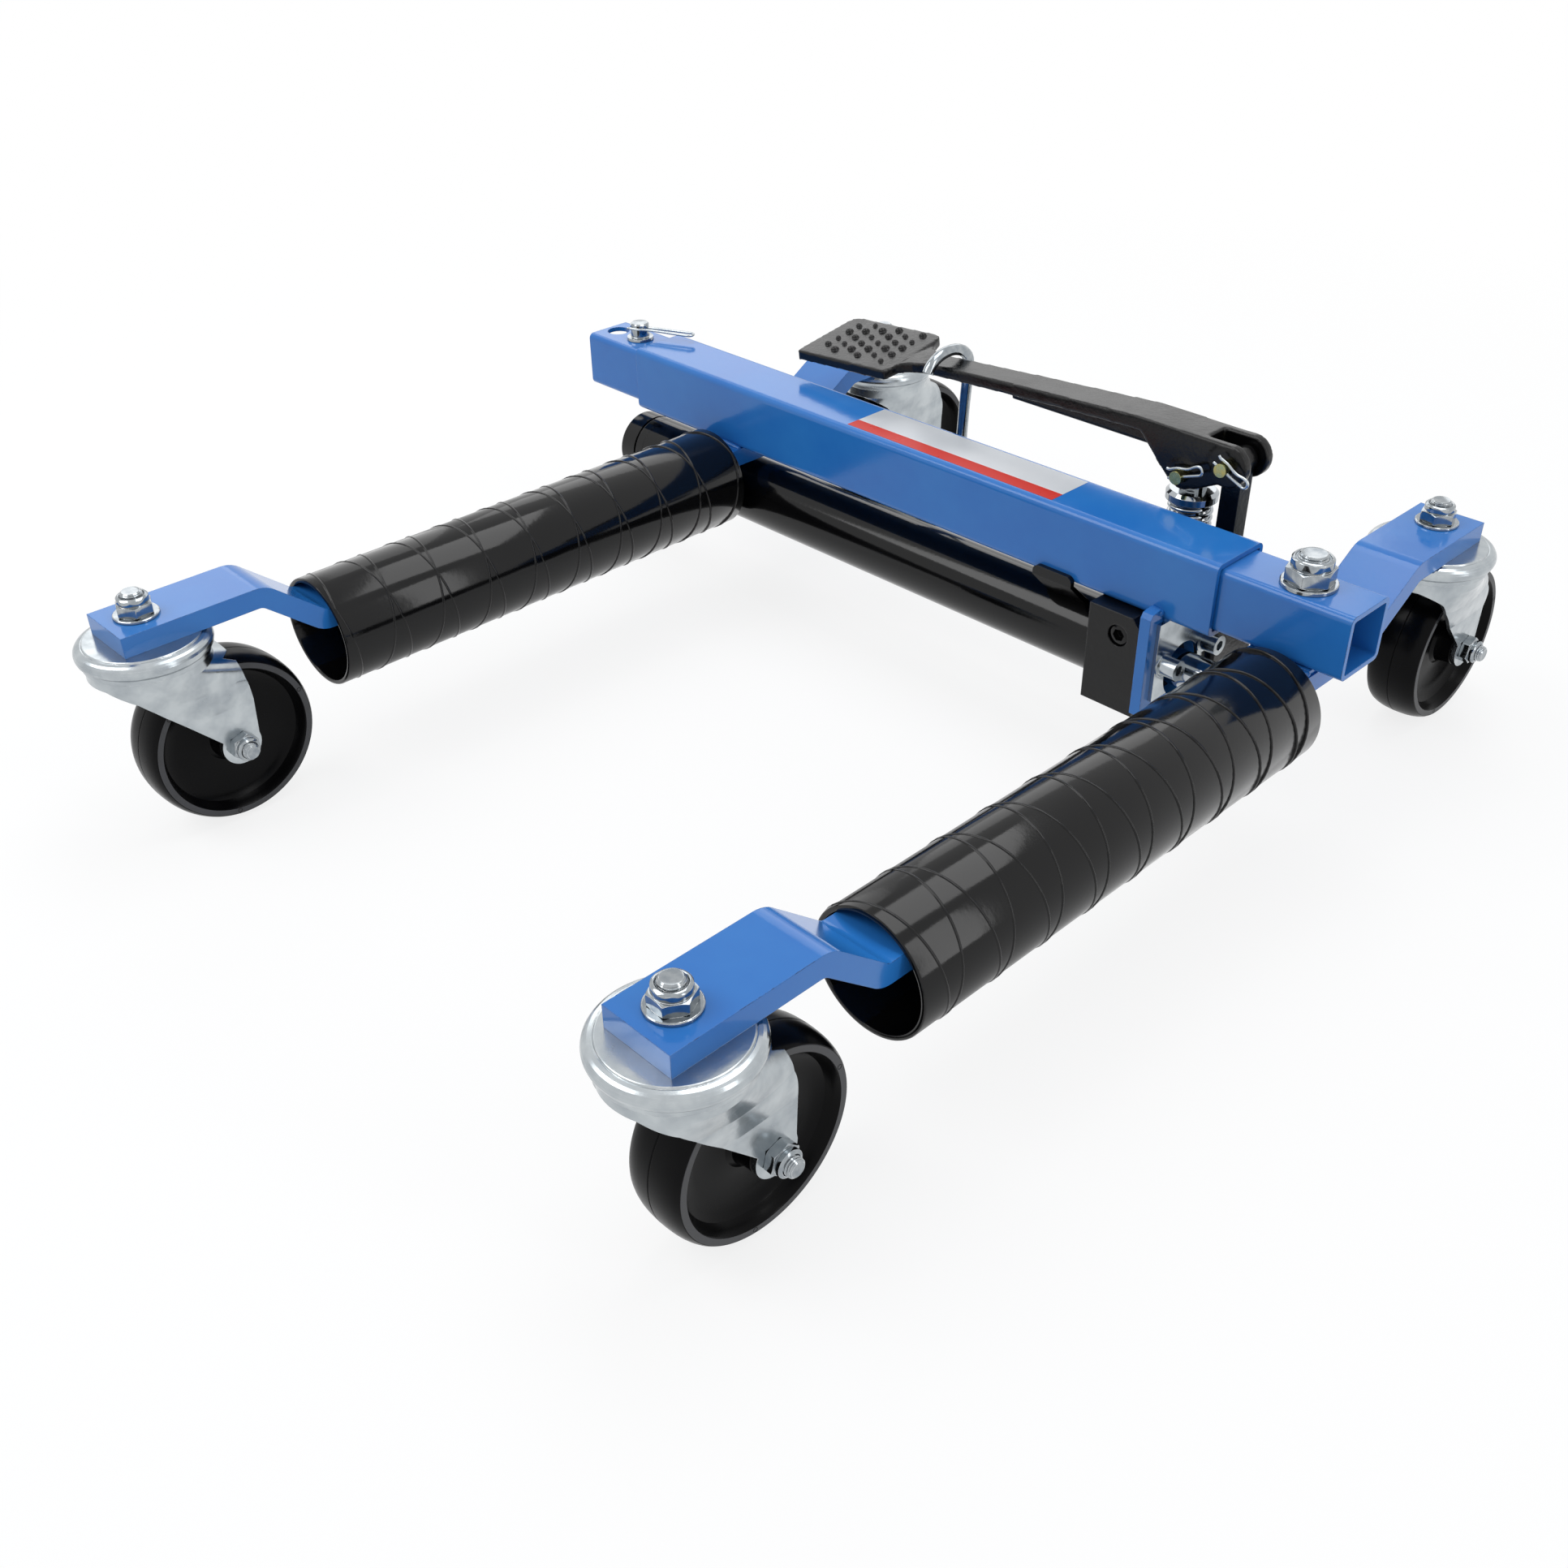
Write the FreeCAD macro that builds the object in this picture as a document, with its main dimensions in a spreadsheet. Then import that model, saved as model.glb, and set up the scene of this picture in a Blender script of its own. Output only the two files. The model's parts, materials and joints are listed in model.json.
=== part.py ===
import FreeCAD, Part
import math
import os
import re
import Sketcher

# Vehicle positioning jack: two crosswise tubes, two side bars with rollers, a foot pump and four casters.
# Millimetres, +Z up, X along the cross tube, +Y to the back. The origin is on the floor, mid-footprint.

SIZES = {
    # cross tubes
    "tube_height": 134.0, "tube_size": 44.5, "tube_wall": 3.0, "tube_length": 488.0, "tube_corner": 4.5,
    "inner_size": 38.0, "inner_wall": 3.0, "inner_left": 57.0, "inner_right": 79.0,
    "hole_reach": 46.0, "hole_radius": 8.0, "lock_reach": 21.0, "lock_radius": 5.0, "lock_collar": 11.0,
    # side bars
    "bar_width": 40.0, "bar_thick": 12.0, "left_bar": 88.0, "bar_reach": 42.0, "bar_bend": 6.0,
    "low_spare": 1.0, "front_rise": 34.0, "front_flat": 85.5,
    "rear_low": 40.0, "rear_rise": 48.0, "rear_flat": 75.0, "king_inset": 19.0,
    # rollers
    "roller_radius": 33.5, "roller_wall": 3.0, "roller_length": 316.0, "roller_gap": 0.1,
    "left_roller_back": 31.0, "right_roller_back": 23.5,
    # ram and pump block
    "ram_clear": 3.75, "ram_radius": 23.0, "ram_bore": 20.0, "ram_cap": 24.0, "cap_groove": 1.2,
    "rod_radius": 11.0, "piston_length": 22.0, "piston_rest": 381.0, "fit": 0.06,
    "block_left": 415.0, "block_width": 36.0, "block_front": 32.0, "block_back": 68.0,
    "block_drop": 24.0, "block_bevel": 6.0, "stay_x": 367.5, "stay_width": 28.5,
    "stay_thick": 3.3, "stay_lap": 5.3, "stay_corner": 4.0,
    "bracket_thick": 7.0, "bracket_back": 28.0, "plate_thick": 2.5, "plate_width": 52.0, "plate_height": 50.0,
    "window_radius": 17.0, "eye_radius": 17.0, "eye_half": 8.5, "screw_radius": 4.0, "screw_deep": 10.0,
    "screw_across": 20.5, "screw_lift": 11.0, "plug_radius": 6.7, "plug_across": 21.0, "plug_lift": 24.5,
    # foot pump
    "pump_y": 52.0, "plunger_step": 6.0, "pivot_step": 28.0, "plunger_pin": 170.0, "pivot_pin": 183.0,
    "plunger_radius": 8.0, "housing_radius": 12.5, "housing_top": 129.0,
    "cap_radius": 15.5, "cap_base": 150.0, "cap_height": 7.5,
    "spring_radius": 12.2, "spring_wire": 1.4, "spring_turns": 4.0, "spring_seat": 0.1,
    "pin_radius": 4.0, "cheek_gap": 16.0, "cheek_width": 28.0, "link_size": 12.0,
    "pivot_boss": 12.5, "plunger_boss": 9.0,
    # pedal lever
    "pad_left": 114.0, "pad_right": 196.0, "pad_width": 54.0, "pad_thick": 7.0, "pad_tip_top": 172.0,
    "pad_top": 177.0, "pad_corner": 8.0, "arm_width": 20.0, "neck_x": 214.0, "neck_top": 181.5,
    "elbow_step": 60.0, "elbow_top": 192.0, "arm_thick": 8.0,
    "rib_start": 304.0, "rib_thick": 6.0, "rib_deep": 8.0,
    # hook
    "hook_x": 231.0, "hook_y": 67.0, "hook_pivot": 114.0, "hook_wire": 4.0, "hook_bend": 12.0,
    "hook_top": 186.0, "hook_eye": 7.0, "hook_pin": 3.0,
    # casters
    "wheel_radius": 51.5, "wheel_width": 32.0, "trail": 32.0, "fork_gap": 38.0, "fork_wall": 3.0,
    "fork_room": 25.0, "hub_radius": 12.0, "axle_radius": 5.0, "king_radius": 6.0, "caster_cap": 37.0,
    "sheet": 2.5, "axle_corner": 9.0, "king_corner": 10.5, "king_washer": 12.5,
    # cross bolt
    "bolt_radius": 8.0, "bolt_corner": 14.0, "bolt_washer": 15.5, "sleeve_radius": 13.0, "slack": 0.35,
    # spring clips
    "clip_wire": 0.9, "clip_reach": 11.0, "lock_clip_reach": 36.0, "lock_clip_turn": 24.0,
}

DERIVED = {
    "tube_left": "(inner_left - tube_length - inner_right)/2",
    "front_low": "left_roller_back + roller_length + low_spare",
    "front_bend": "front_low + front_rise",
    "front_tip": "front_bend + front_flat",
    "front_king": "front_tip - king_inset",
    "rear_bend": "rear_low + rear_rise",
    "rear_tip": "rear_bend + rear_flat",
    "rear_king": "rear_tip - king_inset",
    "tube_y": "(front_king + caster_cap - rear_king - trail - wheel_radius)/2",
    "right_bar": "tube_length + bar_reach",
    "plunger_x": "block_left + plunger_step",
    "pivot_x": "plunger_x + pivot_step",
    "elbow_x": "pivot_x - elbow_step",
    "low_top": "tube_height - tube_size/2",
    "low_base": "low_top - bar_thick",
    "caster_height": "wheel_top + fork_room",
    "flat_base": "caster_height",
    "flat_top": "caster_height + bar_thick",
    "left_x": "tube_left + left_bar",
    "right_x": "tube_left + right_bar",
    "roller_bore": "roller_radius - roller_wall",
    "roller_z": "low_top - sqrt(roller_bore*roller_bore - bar_width*bar_width/4) + roller_gap",
    "ram_z": "low_base - ram_radius - ram_clear",
    "block_base": "ram_z - block_drop",
    "lock_line": "tube_left - lock_reach",
    "block_x": "tube_left + block_left",
    "block_right": "block_x + block_width",
    "pump_line": "tube_y + pump_y",
    "plunger_line": "tube_left + plunger_x",
    "pivot_line": "tube_left + pivot_x",
    "wheel_top": "2*wheel_radius",
    "hook_line": "tube_left + hook_x",
}

SCREWS = (("tube_y - screw_across", "ram_z + screw_lift"), ("tube_y + screw_across", "ram_z + screw_lift"))

ALONG = {
    "x": FreeCAD.Rotation(FreeCAD.Vector(0, 1, 0), 90),
    "y": FreeCAD.Rotation(FreeCAD.Vector(1, 0, 0), -90),
    "z": FreeCAD.Rotation(),
}

doc = FreeCAD.newDocument("PositioningJack")
sizes = doc.addObject("Spreadsheet::Sheet", "Sizes")
for row, (word, size) in enumerate(SIZES.items(), start=1):
    sizes.set("A" + str(row), word)
    sizes.set("B" + str(row), str(size))
    sizes.setAlias("B" + str(row), word)
probe = doc.addObject("Part::Vertex", "Probe")
doc.recompute()
nodes = []


def cells(text):
    """Write each size name in an expression as its cell of the sheet."""

    def swap(found):
        word = found.group(0)
        if word in DERIVED:
            return "(" + cells(DERIVED[word]) + ")"
        return "Sizes." + word if word in SIZES else word

    return re.sub(r"[a-z_]+", swap, text)


def number(text):
    """Work out an expression of size names."""
    probe.setExpression("X", cells(text))
    probe.recompute()
    return float(probe.X)


def place(piece, point, along="z"):
    """Put a piece at a point given by three expressions, its own Z axis turned to an axis of the frame."""
    piece.Placement = FreeCAD.Placement(FreeCAD.Vector(), ALONG[along])
    for axis, text in zip("xyz", point):
        piece.setExpression("Placement.Base." + axis, cells(text))
    return piece


def box(name, size, corner):
    """Add a box by its three lengths and its lowest corner."""
    piece = doc.addObject("Part::Box", name)
    for side, text in zip(("Length", "Width", "Height"), size):
        piece.setExpression(side, cells(text))
    return place(piece, corner)


def rod(name, radius, length, start, along="z"):
    """Add a cylinder from the centre of its first end face."""
    piece = doc.addObject("Part::Cylinder", name)
    piece.setExpression("Radius", cells(radius))
    piece.setExpression("Height", cells(length))
    return place(piece, start, along)


def hexagon(name, corner_radius, length, start, along="z"):
    """Add a six-sided prism from the centre of its first end face."""
    piece = doc.addObject("Part::Prism", name)
    piece.Polygon = 6
    piece.setExpression("Circumradius", cells(corner_radius))
    piece.setExpression("Height", cells(length))
    return place(piece, start, along)


def fuse(name, *pieces):
    """Join pieces into one solid."""
    joined = doc.addObject("Part::MultiFuse", name)
    joined.Shapes = list(pieces)
    joined.Refine = True
    return joined


def cut(name, base, *tools):
    """Take the tools away from the base."""
    result = doc.addObject("Part::Cut", name)
    result.Base = base
    result.Tool = tools[0] if len(tools) == 1 else fuse(name + "Tools", *tools)
    return result


def node(label, piece):
    """Keep a finished piece as one named sub-part."""
    piece.Label = label
    nodes.append(piece)
    return piece


def sketch_on(body, role, name, offset="0"):
    """Start a sketch on one of the body's own planes, moved along the plane's normal."""
    sketch = body.newObject("Sketcher::SketchObject", name)
    plane = [item for item in body.Origin.OriginFeatures if item.Role == role][0]
    sketch.AttachmentSupport = (plane, [""])
    sketch.MapMode = "FlatFace"
    sketch.setExpression("AttachmentOffset.Base.z", cells(offset))
    return sketch


def pin_point(sketch, index, end, corner):
    """Tie one point of a sketch to the two expressions of its place."""
    for kind, text in zip(("DistanceX", "DistanceY"), corner):
        held = sketch.addConstraint(Sketcher.Constraint(kind, -1, 1, index, end, number(text)))
        sketch.setExpression("Constraints[" + str(held) + "]", cells(text))


def outline(sketch, corners):
    """Draw a closed outline through corners given by pairs of expressions."""
    points = [FreeCAD.Vector(number(across), number(up), 0) for across, up in corners]
    count = len(points)
    for index in range(count):
        sketch.addGeometry(Part.LineSegment(points[index], points[(index + 1) % count]), False)
    for index in range(count):
        sketch.addConstraint(Sketcher.Constraint("Coincident", index, 2, (index + 1) % count, 1))
    for index, corner in enumerate(corners):
        pin_point(sketch, index, 1, corner)


def plate(name, role, corners, start, thick):
    """Pad an outline from a plane of the body; the thickness grows along the plane's normal."""
    body = doc.addObject("PartDesign::Body", name)
    sketch = sketch_on(body, role, name + "Outline", start)
    outline(sketch, corners)
    pad = body.newObject("PartDesign::Pad", name + "Pad")
    pad.Profile = sketch
    pad.setExpression("Length", cells(thick))
    doc.recompute()
    return body


def lies_along(edge, axis):
    """Tell whether a straight edge runs along an axis, 0 for X, 1 for Y and 2 for Z."""
    first, last = edge.Vertexes[0].Point, edge.Vertexes[-1].Point
    return all(abs(first[other] - last[other]) < 0.01 for other in range(3) if other != axis)


def round_edges(body, name, radius, chosen):
    """Round those edges of a body's last feature that a test of their own chooses."""
    base = body.Tip
    edges = ["Edge" + str(index) for index, edge in enumerate(base.Shape.Edges, start=1) if chosen(edge)]
    rounded = body.newObject("PartDesign::Fillet", name)
    rounded.Base = (base, edges)
    rounded.setExpression("Radius", cells(radius))
    body.Tip = rounded
    doc.recompute()
    return body


def turned(name, corners, point, along="z"):
    """Revolve a half outline of (radius, height) corners about the body's own Z axis."""
    body = doc.addObject("PartDesign::Body", name)
    sketch = sketch_on(body, "XZ_Plane", name + "Outline")
    outline(sketch, corners)
    revolution = body.newObject("PartDesign::Revolution", name + "Turn")
    revolution.Profile = sketch
    revolution.ReferenceAxis = (sketch, ["V_Axis"])
    revolution.Angle = 360.0
    doc.recompute()
    return place(body, point, along)


def locknut(name, label, point, bolt, washer, flats):
    """Add a washer with a hexagonal lock nut and its round collar, bored for the bolt."""
    across, back, up = point
    disc = rod(name + "Washer", washer, "0.3*" + bolt, point)
    body = hexagon(name + "Hexagon", flats, "1.15*" + bolt, (across, back, up + " + 0.3*" + bolt))
    collar = rod(name + "Collar", "0.82*" + flats, "0.5*" + bolt, (across, back, up + " + 1.45*" + bolt))
    bore = rod(name + "Bore", bolt + " + 0.02", "3*" + bolt, (across, back, up + " - 1"))
    return node(label, cut(name, fuse(name + "Solid", disc, body, collar), bore))


def square_rod(name, size, corner, start, length):
    """Pad a square with rounded corners along X, centred on the tubes' line."""
    low, high = "tube_height - (" + size + ")/2", "tube_height + (" + size + ")/2"
    front, back = "tube_y - (" + size + ")/2", "tube_y + (" + size + ")/2"
    body = plate(name, "YZ_Plane", [(front, low), (back, low), (back, high), (front, high)], start, length)
    return round_edges(body, name + "Corners", corner, lambda edge: lies_along(edge, 0))


def cross_tubes():
    """Add the fixed outer tube, the sliding inner tube and the bent stay between tube and ram."""
    outer = square_rod("OuterSolid", "tube_size", "tube_corner", "tube_left", "tube_length")
    hollow = square_rod("OuterHollow", "tube_size - 2*tube_wall", "tube_corner - tube_wall", "tube_left - 1",
                        "tube_length + 2")
    node("outer_tube", cut("OuterTube", outer, hollow))
    length = "inner_left + tube_length + inner_right"
    inner = square_rod("InnerSolid", "inner_size", "tube_corner - 0.5", "tube_left - inner_left", length)
    hollow = square_rod("InnerHollow", "inner_size - 2*inner_wall", "tube_corner - inner_wall",
                        "tube_left - inner_left - 1", length + " + 2")
    spare = rod("InnerSpareHole", "hole_radius", "inner_size + 2",
                ("tube_left - hole_reach", "tube_y", "tube_height - inner_size/2 - 1"))
    pin = rod("InnerPinHole", "lock_radius + 0.1", "inner_size + 2",
              ("lock_line", "tube_y", "tube_height - inner_size/2 - 1"))
    bolt = rod("InnerBoltHole", "bolt_radius + 0.1", "inner_size + 2",
               ("right_x", "tube_y", "tube_height - inner_size/2 - 1"))
    node("inner_tube", cut("InnerTube", inner, hollow, spare, pin, bolt))
    face, reach = "tube_y - tube_size/2 - 0.1", "(ram_radius + 0.1)"
    foot = [("tube_y - " + reach + "*cos(" + turn + ")", "ram_z + " + reach + "*sin(" + turn + ")")
            for turn in ("76", "66")]
    corners = [(face + " - stay_thick", "low_top + stay_lap"), (face, "low_top + stay_lap"),
               (face, "low_top - 0.8"), *foot, (face + " - stay_thick", "low_top - 1.2")]
    stay = plate("StaySolid", "YZ_Plane", corners, "tube_left + stay_x", "stay_width")
    top = number("low_top + stay_lap")
    round_edges(stay, "StayCorners", "stay_corner",
                lambda edge: lies_along(edge, 1) and edge.CenterOfMass.z > top - 0.01)
    node("cylinder_stay", stay)


def side_bar(name, label, middle, bolted):
    """Add one side bar: flat over each caster, stepped down between them to carry its roller."""
    top = [("tube_y - front_tip", "flat_top"), ("tube_y - front_bend", "flat_top"),
           ("tube_y - front_low", "low_top"), ("tube_y + rear_low", "low_top"),
           ("tube_y + rear_bend", "flat_top"), ("tube_y + rear_tip", "flat_top")]
    lean = "0.35*bar_thick"
    base = [("tube_y + rear_tip", "flat_base"), ("tube_y + rear_bend + " + lean, "flat_base"),
            ("tube_y + rear_low + " + lean, "low_base"), ("tube_y - front_low - " + lean, "low_base"),
            ("tube_y - front_bend - " + lean, "flat_base"), ("tube_y - front_tip", "flat_base")]
    bar = plate(name + "Solid", "YZ_Plane", top + base, middle + " - bar_width/2", "bar_width")
    for kind, radius, corners in (("Inside", "bar_bend", (top[2], top[3], base[1], base[4])),
                                  ("Outside", "bar_bend + bar_thick", (top[1], top[4], base[2], base[3]))):
        spots = [(number(back), number(up)) for back, up in corners]
        round_edges(bar, name + kind, radius, lambda edge: lies_along(edge, 0) and any(
            math.dist((edge.Vertexes[0].Y, edge.Vertexes[0].Z), spot) < 0.01 for spot in spots))
    holes = [rod(name + "Front", "king_radius + 0.2", "bar_thick + 2",
                 (middle, "tube_y - front_king", "flat_base - 1")),
             rod(name + "Rear", "king_radius + 0.2", "bar_thick + 2",
                 (middle, "tube_y + rear_king", "flat_base - 1"))]
    if bolted:
        holes.append(rod(name + "Bolt", "bolt_radius + 0.1", "bar_thick + 2",
                         (middle, "tube_y", "low_base - 1")))
    node(label, cut(name, bar, *holes))


def roller(name, label, middle, back):
    """Add a loose steel tube that hangs on its side bar."""
    start = (middle, "tube_y - " + back + " - roller_length", "roller_z")
    solid = rod(name + "Solid", "roller_radius", "roller_length", start, "y")
    bore = rod(name + "Bore", "roller_bore", "roller_length + 2",
               (middle, "tube_y - " + back + " - roller_length - 1", "roller_z"), "y")
    node(label, cut(name, solid, bore))


def ram():
    """Add the ram: its tube and end cap, the piston rod with its eye, the bracket and the rod plate."""
    tube = rod("RamSolid", "ram_radius", "block_left", ("tube_left", "tube_y", "ram_z"), "x")
    bore = rod("RamBore", "ram_bore", "block_left + 2", ("tube_left - 1", "tube_y", "ram_z"), "x")
    node("ram_cylinder", cut("RamTube", tube, bore))
    spigot, groove = "ram_bore - 0.1", "ram_radius - cap_groove"
    profile = [("0", "0"), ("ram_radius - cap_groove", "0"), ("ram_radius", "cap_groove"),
               ("ram_radius", "ram_cap/2 + 3"), (groove, "ram_cap/2 + 3"), (groove, "ram_cap/2 + 5"),
               ("ram_radius", "ram_cap/2 + 5"), ("ram_radius", "ram_cap"), (spigot, "ram_cap"),
               (spigot, "1.5*ram_cap"), ("0", "1.5*ram_cap")]
    node("cylinder_end_cap", turned("RamCap", profile, ("tube_left - ram_cap - 0.1", "tube_y", "ram_z"), "x"))
    rest = ("tube_left + piston_rest", "tube_y", "ram_z")
    piston = rod("RodPiston", "ram_bore - fit", "piston_length", rest, "x")
    shaft = rod("RodShaft", "rod_radius", "right_bar - piston_rest - eye_radius + 3", rest, "x")
    eye = rod("RodEye", "eye_radius", "2*eye_half", ("right_x", "tube_y", "ram_z - eye_half"))
    hole = rod("RodEyeHole", "bolt_radius + 0.1", "2*eye_half + 2",
               ("right_x", "tube_y", "ram_z - eye_half - 1"))
    node("piston_rod", cut("PistonRod", fuse("RodSolid", piston, shaft, eye), hole))
    front, back = "tube_y - block_front - 2", "tube_y + bracket_back"
    corners = [(front, "block_base + 4"), (back, "block_base + 4"), (back, "low_top"),
               ("tube_y - tube_size/2", "low_top"), ("tube_y - tube_size/2", "low_top + 5"),
               ("tube_y - tube_size/2 - 3", "low_top + 8"), (front + " + 2", "low_top + 7"),
               (front, "low_top + 4")]
    bracket = plate("BracketSolid", "YZ_Plane", corners, "block_right", "bracket_thick")
    window = rod("BracketWindow", "window_radius", "bracket_thick + 2",
                 ("block_right - 1", "tube_y", "ram_z"), "x")
    screws = [rod("BracketScrewHole" + str(side), "screw_radius + 0.05", "bracket_thick + 2",
                  ("block_right - 1", y, z), "x") for side, (y, z) in enumerate(SCREWS)]
    node("ram_bracket", cut("RamBracket", bracket, window, *screws))
    sheet = box("PlateSolid", ("plate_thick", "plate_width", "plate_height"),
                ("block_right + bracket_thick", "tube_y - plate_width/2 - 1", "low_top - 0.5 - plate_height"))
    window = rod("PlateWindow", "window_radius", "plate_thick + 2",
                 ("block_right + bracket_thick - 1", "tube_y", "ram_z"), "x")
    screws = [rod("PlateScrewHole" + str(side), "screw_radius + 0.05", "plate_thick + 2",
                  ("block_right + bracket_thick - 1", y, z), "x") for side, (y, z) in enumerate(SCREWS)]
    node("rod_plate", cut("RodPlate", sheet, window, *screws))
    for side, (y, z) in enumerate(SCREWS):
        name = "PlateScrew" + str(side)
        face = "block_right + bracket_thick + plate_thick"
        shank = rod(name + "Shank", "screw_radius", "screw_deep + bracket_thick + plate_thick",
                    ("block_right - screw_deep", y, z), "x")
        washer = rod(name + "Washer", "2*screw_radius - 0.5", "1.5", (face, y, z), "x")
        head = rod(name + "Head", "1.5*screw_radius", "10", (face + " + 1.5", y, z), "x")
        socket = hexagon(name + "Socket", "0.85*screw_radius", "6", (face + " + 6.5", y, z), "x")
        screw = fuse(name + "Solid", shank, washer, head)
        node("plate_screw_" + ("front", "back")[side], cut(name, screw, socket))


def pump_block():
    """Add the cast block with its plug, the plunger housing and the link that carries the lever's pivot."""
    corners = [("block_x", "block_base"), ("block_right", "block_base"), ("block_right", "low_top - 7"),
               ("block_right - block_bevel", "low_top"), ("block_x", "low_top")]
    front = plate("BlockFront", "XZ_Plane", corners, "0 - tube_y - 29", "block_front + 29")
    rear = box("BlockRear", ("64", "block_back - 28.5", "low_top - block_base - 4"),
               ("block_x - 14", "tube_y + 28.5", "block_base"))
    solid = fuse("BlockSolid", front, rear)
    rod_way = rod("BlockRodWay", "rod_radius + fit", "100", ("block_x - 20", "tube_y", "ram_z"), "x")
    plug_point = ("block_x + plug_across", "tube_y - block_front - 1", "ram_z + plug_lift")
    plug_way = rod("BlockPlugWay", "plug_radius + 0.05", "9", plug_point, "y")
    plunger_way = rod("BlockPlungerWay", "plunger_radius + fit", "60",
                      ("plunger_line", "pump_line", "low_top - 54"))
    screws = [rod("BlockScrewHole" + str(side), "screw_radius + 0.05", "screw_deep + 2",
                  ("block_right - screw_deep - 1", y, z), "x") for side, (y, z) in enumerate(SCREWS)]
    node("pump_block", cut("PumpBlock", solid, rod_way, plug_way, plunger_way, *screws))
    plug = rod("PlugSolid", "plug_radius", "8",
               ("block_x + plug_across", "tube_y - block_front", "ram_z + plug_lift"), "y")
    socket = hexagon("PlugSocket", "plug_radius - 2.5", "6", plug_point, "y")
    node("block_plug", cut("BlockPlug", plug, socket))
    block_top = "low_top - 4"
    shell = rod("HousingSolid", "housing_radius", "housing_top - " + "(" + block_top + ")",
                ("plunger_line", "pump_line", block_top))
    foot = rod("HousingFoot", "housing_radius + 3", "5", ("plunger_line", "pump_line", block_top))
    bore = rod("HousingBore", "plunger_radius + fit", "60", ("plunger_line", "pump_line", block_top + " - 5"))
    node("plunger_housing", cut("PlungerHousing", fuse("HousingShell", shell, foot), bore))
    size = "link_size"
    post = box("LinkSolid", (size, size, "pivot_pin - (" + block_top + ")"),
               ("pivot_line - link_size/2", "pump_line - link_size/2", block_top))
    crown = rod("LinkCrown", "link_size/2 + 1.5", size,
                ("pivot_line", "pump_line - link_size/2", "pivot_pin"), "y")
    hole = rod("LinkHole", "pin_radius + fit", "link_size + 2",
               ("pivot_line", "pump_line - link_size/2 - 1", "pivot_pin"), "y")
    node("link_bar", cut("LinkBar", fuse("LinkJoined", post, crown), hole))


def biarc(start, start_way, end, end_way):
    """Join two points, each with its direction, by two arcs that meet smoothly."""
    chord = end - start
    ways = start_way + end_way
    spread = ways.dot(ways) - 4.0
    along = chord.dot(ways)
    reach = (along - math.sqrt(along * along - spread * chord.dot(chord))) / spread
    first = start + start_way * reach
    last = end - end_way * reach
    middle = (first + last) * 0.5
    arcs = []
    for low, corner, high in ((start, first, middle), (middle, last, end)):
        halfway = (low + high) * 0.5
        half = (high - low).Length / 2
        rise = (corner - halfway).Length
        bulge = half * math.tan(math.atan2(rise, half) / 2)
        arcs.append(Part.Arc(low, halfway + (corner - halfway) * (bulge / rise), high).toShape())
    return arcs


def coil_shape(radius, wire, turns, rise):
    """Sweep a round wire along a coil made of quarter-turn biarcs, and print the gap between its turns."""
    steps = 4 * turns
    slope = rise / (2 * math.pi * turns)
    points = []
    ways = []
    for step in range(steps + 1):
        angle = step * math.pi / 2
        points.append(FreeCAD.Vector(radius * math.cos(angle), radius * math.sin(angle), slope * angle))
        ways.append(FreeCAD.Vector(-radius * math.sin(angle), radius * math.cos(angle), slope).normalize())
    arcs = []
    for step in range(steps):
        arcs += biarc(points[step], ways[step], points[step + 1], ways[step + 1])
    ring = Part.Wire([Part.makeCircle(wire, points[0], ways[0])])
    least = min((points[step + 4] - points[step]).Length for step in range(steps - 3)) - 2 * wire
    print("return_spring: least gap between turns", round(least, 2), "mm")
    return Part.Wire(arcs).makePipeShell([ring], True, False)


def plunger():
    """Add the plunger with its slotted head, the spring cap and the return spring."""
    stem = rod("PlungerStem", "plunger_radius", "plunger_pin + 6.5 - (low_top - 40)",
               ("plunger_line", "pump_line", "low_top - 40"))
    flats = [box("PlungerFlat" + str(side), ("20", "6", "30"),
                 ("plunger_line - 10", "pump_line " + offset, "cap_base + cap_height + 0.5"))
             for side, offset in enumerate(("+ 6", "- 12"))]
    slot_box = box("PlungerSlotBox", ("3.6", "20", "2*pin_radius + 0.4"),
                   ("plunger_line - 0.3", "pump_line - 10", "plunger_pin - pin_radius - 0.2"))
    slot_ends = [rod("PlungerSlotEnd" + str(side), "pin_radius + 0.2", "20",
                     ("plunger_line " + offset, "pump_line - 10", "plunger_pin"), "y")
                 for side, offset in enumerate(("- 0.3", "+ 3.3"))]
    node("plunger", cut("Plunger", stem, *flats, slot_box, *slot_ends))
    corners = [("plunger_radius + 0.02", "0"), ("cap_radius - 1.5", "0"), ("cap_radius", "1.5"),
               ("cap_radius", "cap_height - 2"), ("cap_radius - 2", "cap_height"),
               ("plunger_radius + 0.02", "cap_height")]
    node("spring_cap", turned("SpringCap", corners, ("plunger_line", "pump_line", "cap_base")))
    coil = doc.addObject("Part::Feature", "ReturnSpring")
    coil.Shape = coil_shape(number("spring_radius"), number("spring_wire"), int(number("spring_turns")),
                            number("cap_base - housing_top - 2*spring_wire - 2*spring_seat"))
    coil.Placement = FreeCAD.Placement()
    for axis, text in zip("xyz", ("plunger_line", "pump_line", "housing_top + spring_wire + spring_seat")):
        coil.setExpression("Placement.Base." + axis, cells(text))
    node("return_spring", coil)


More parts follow.
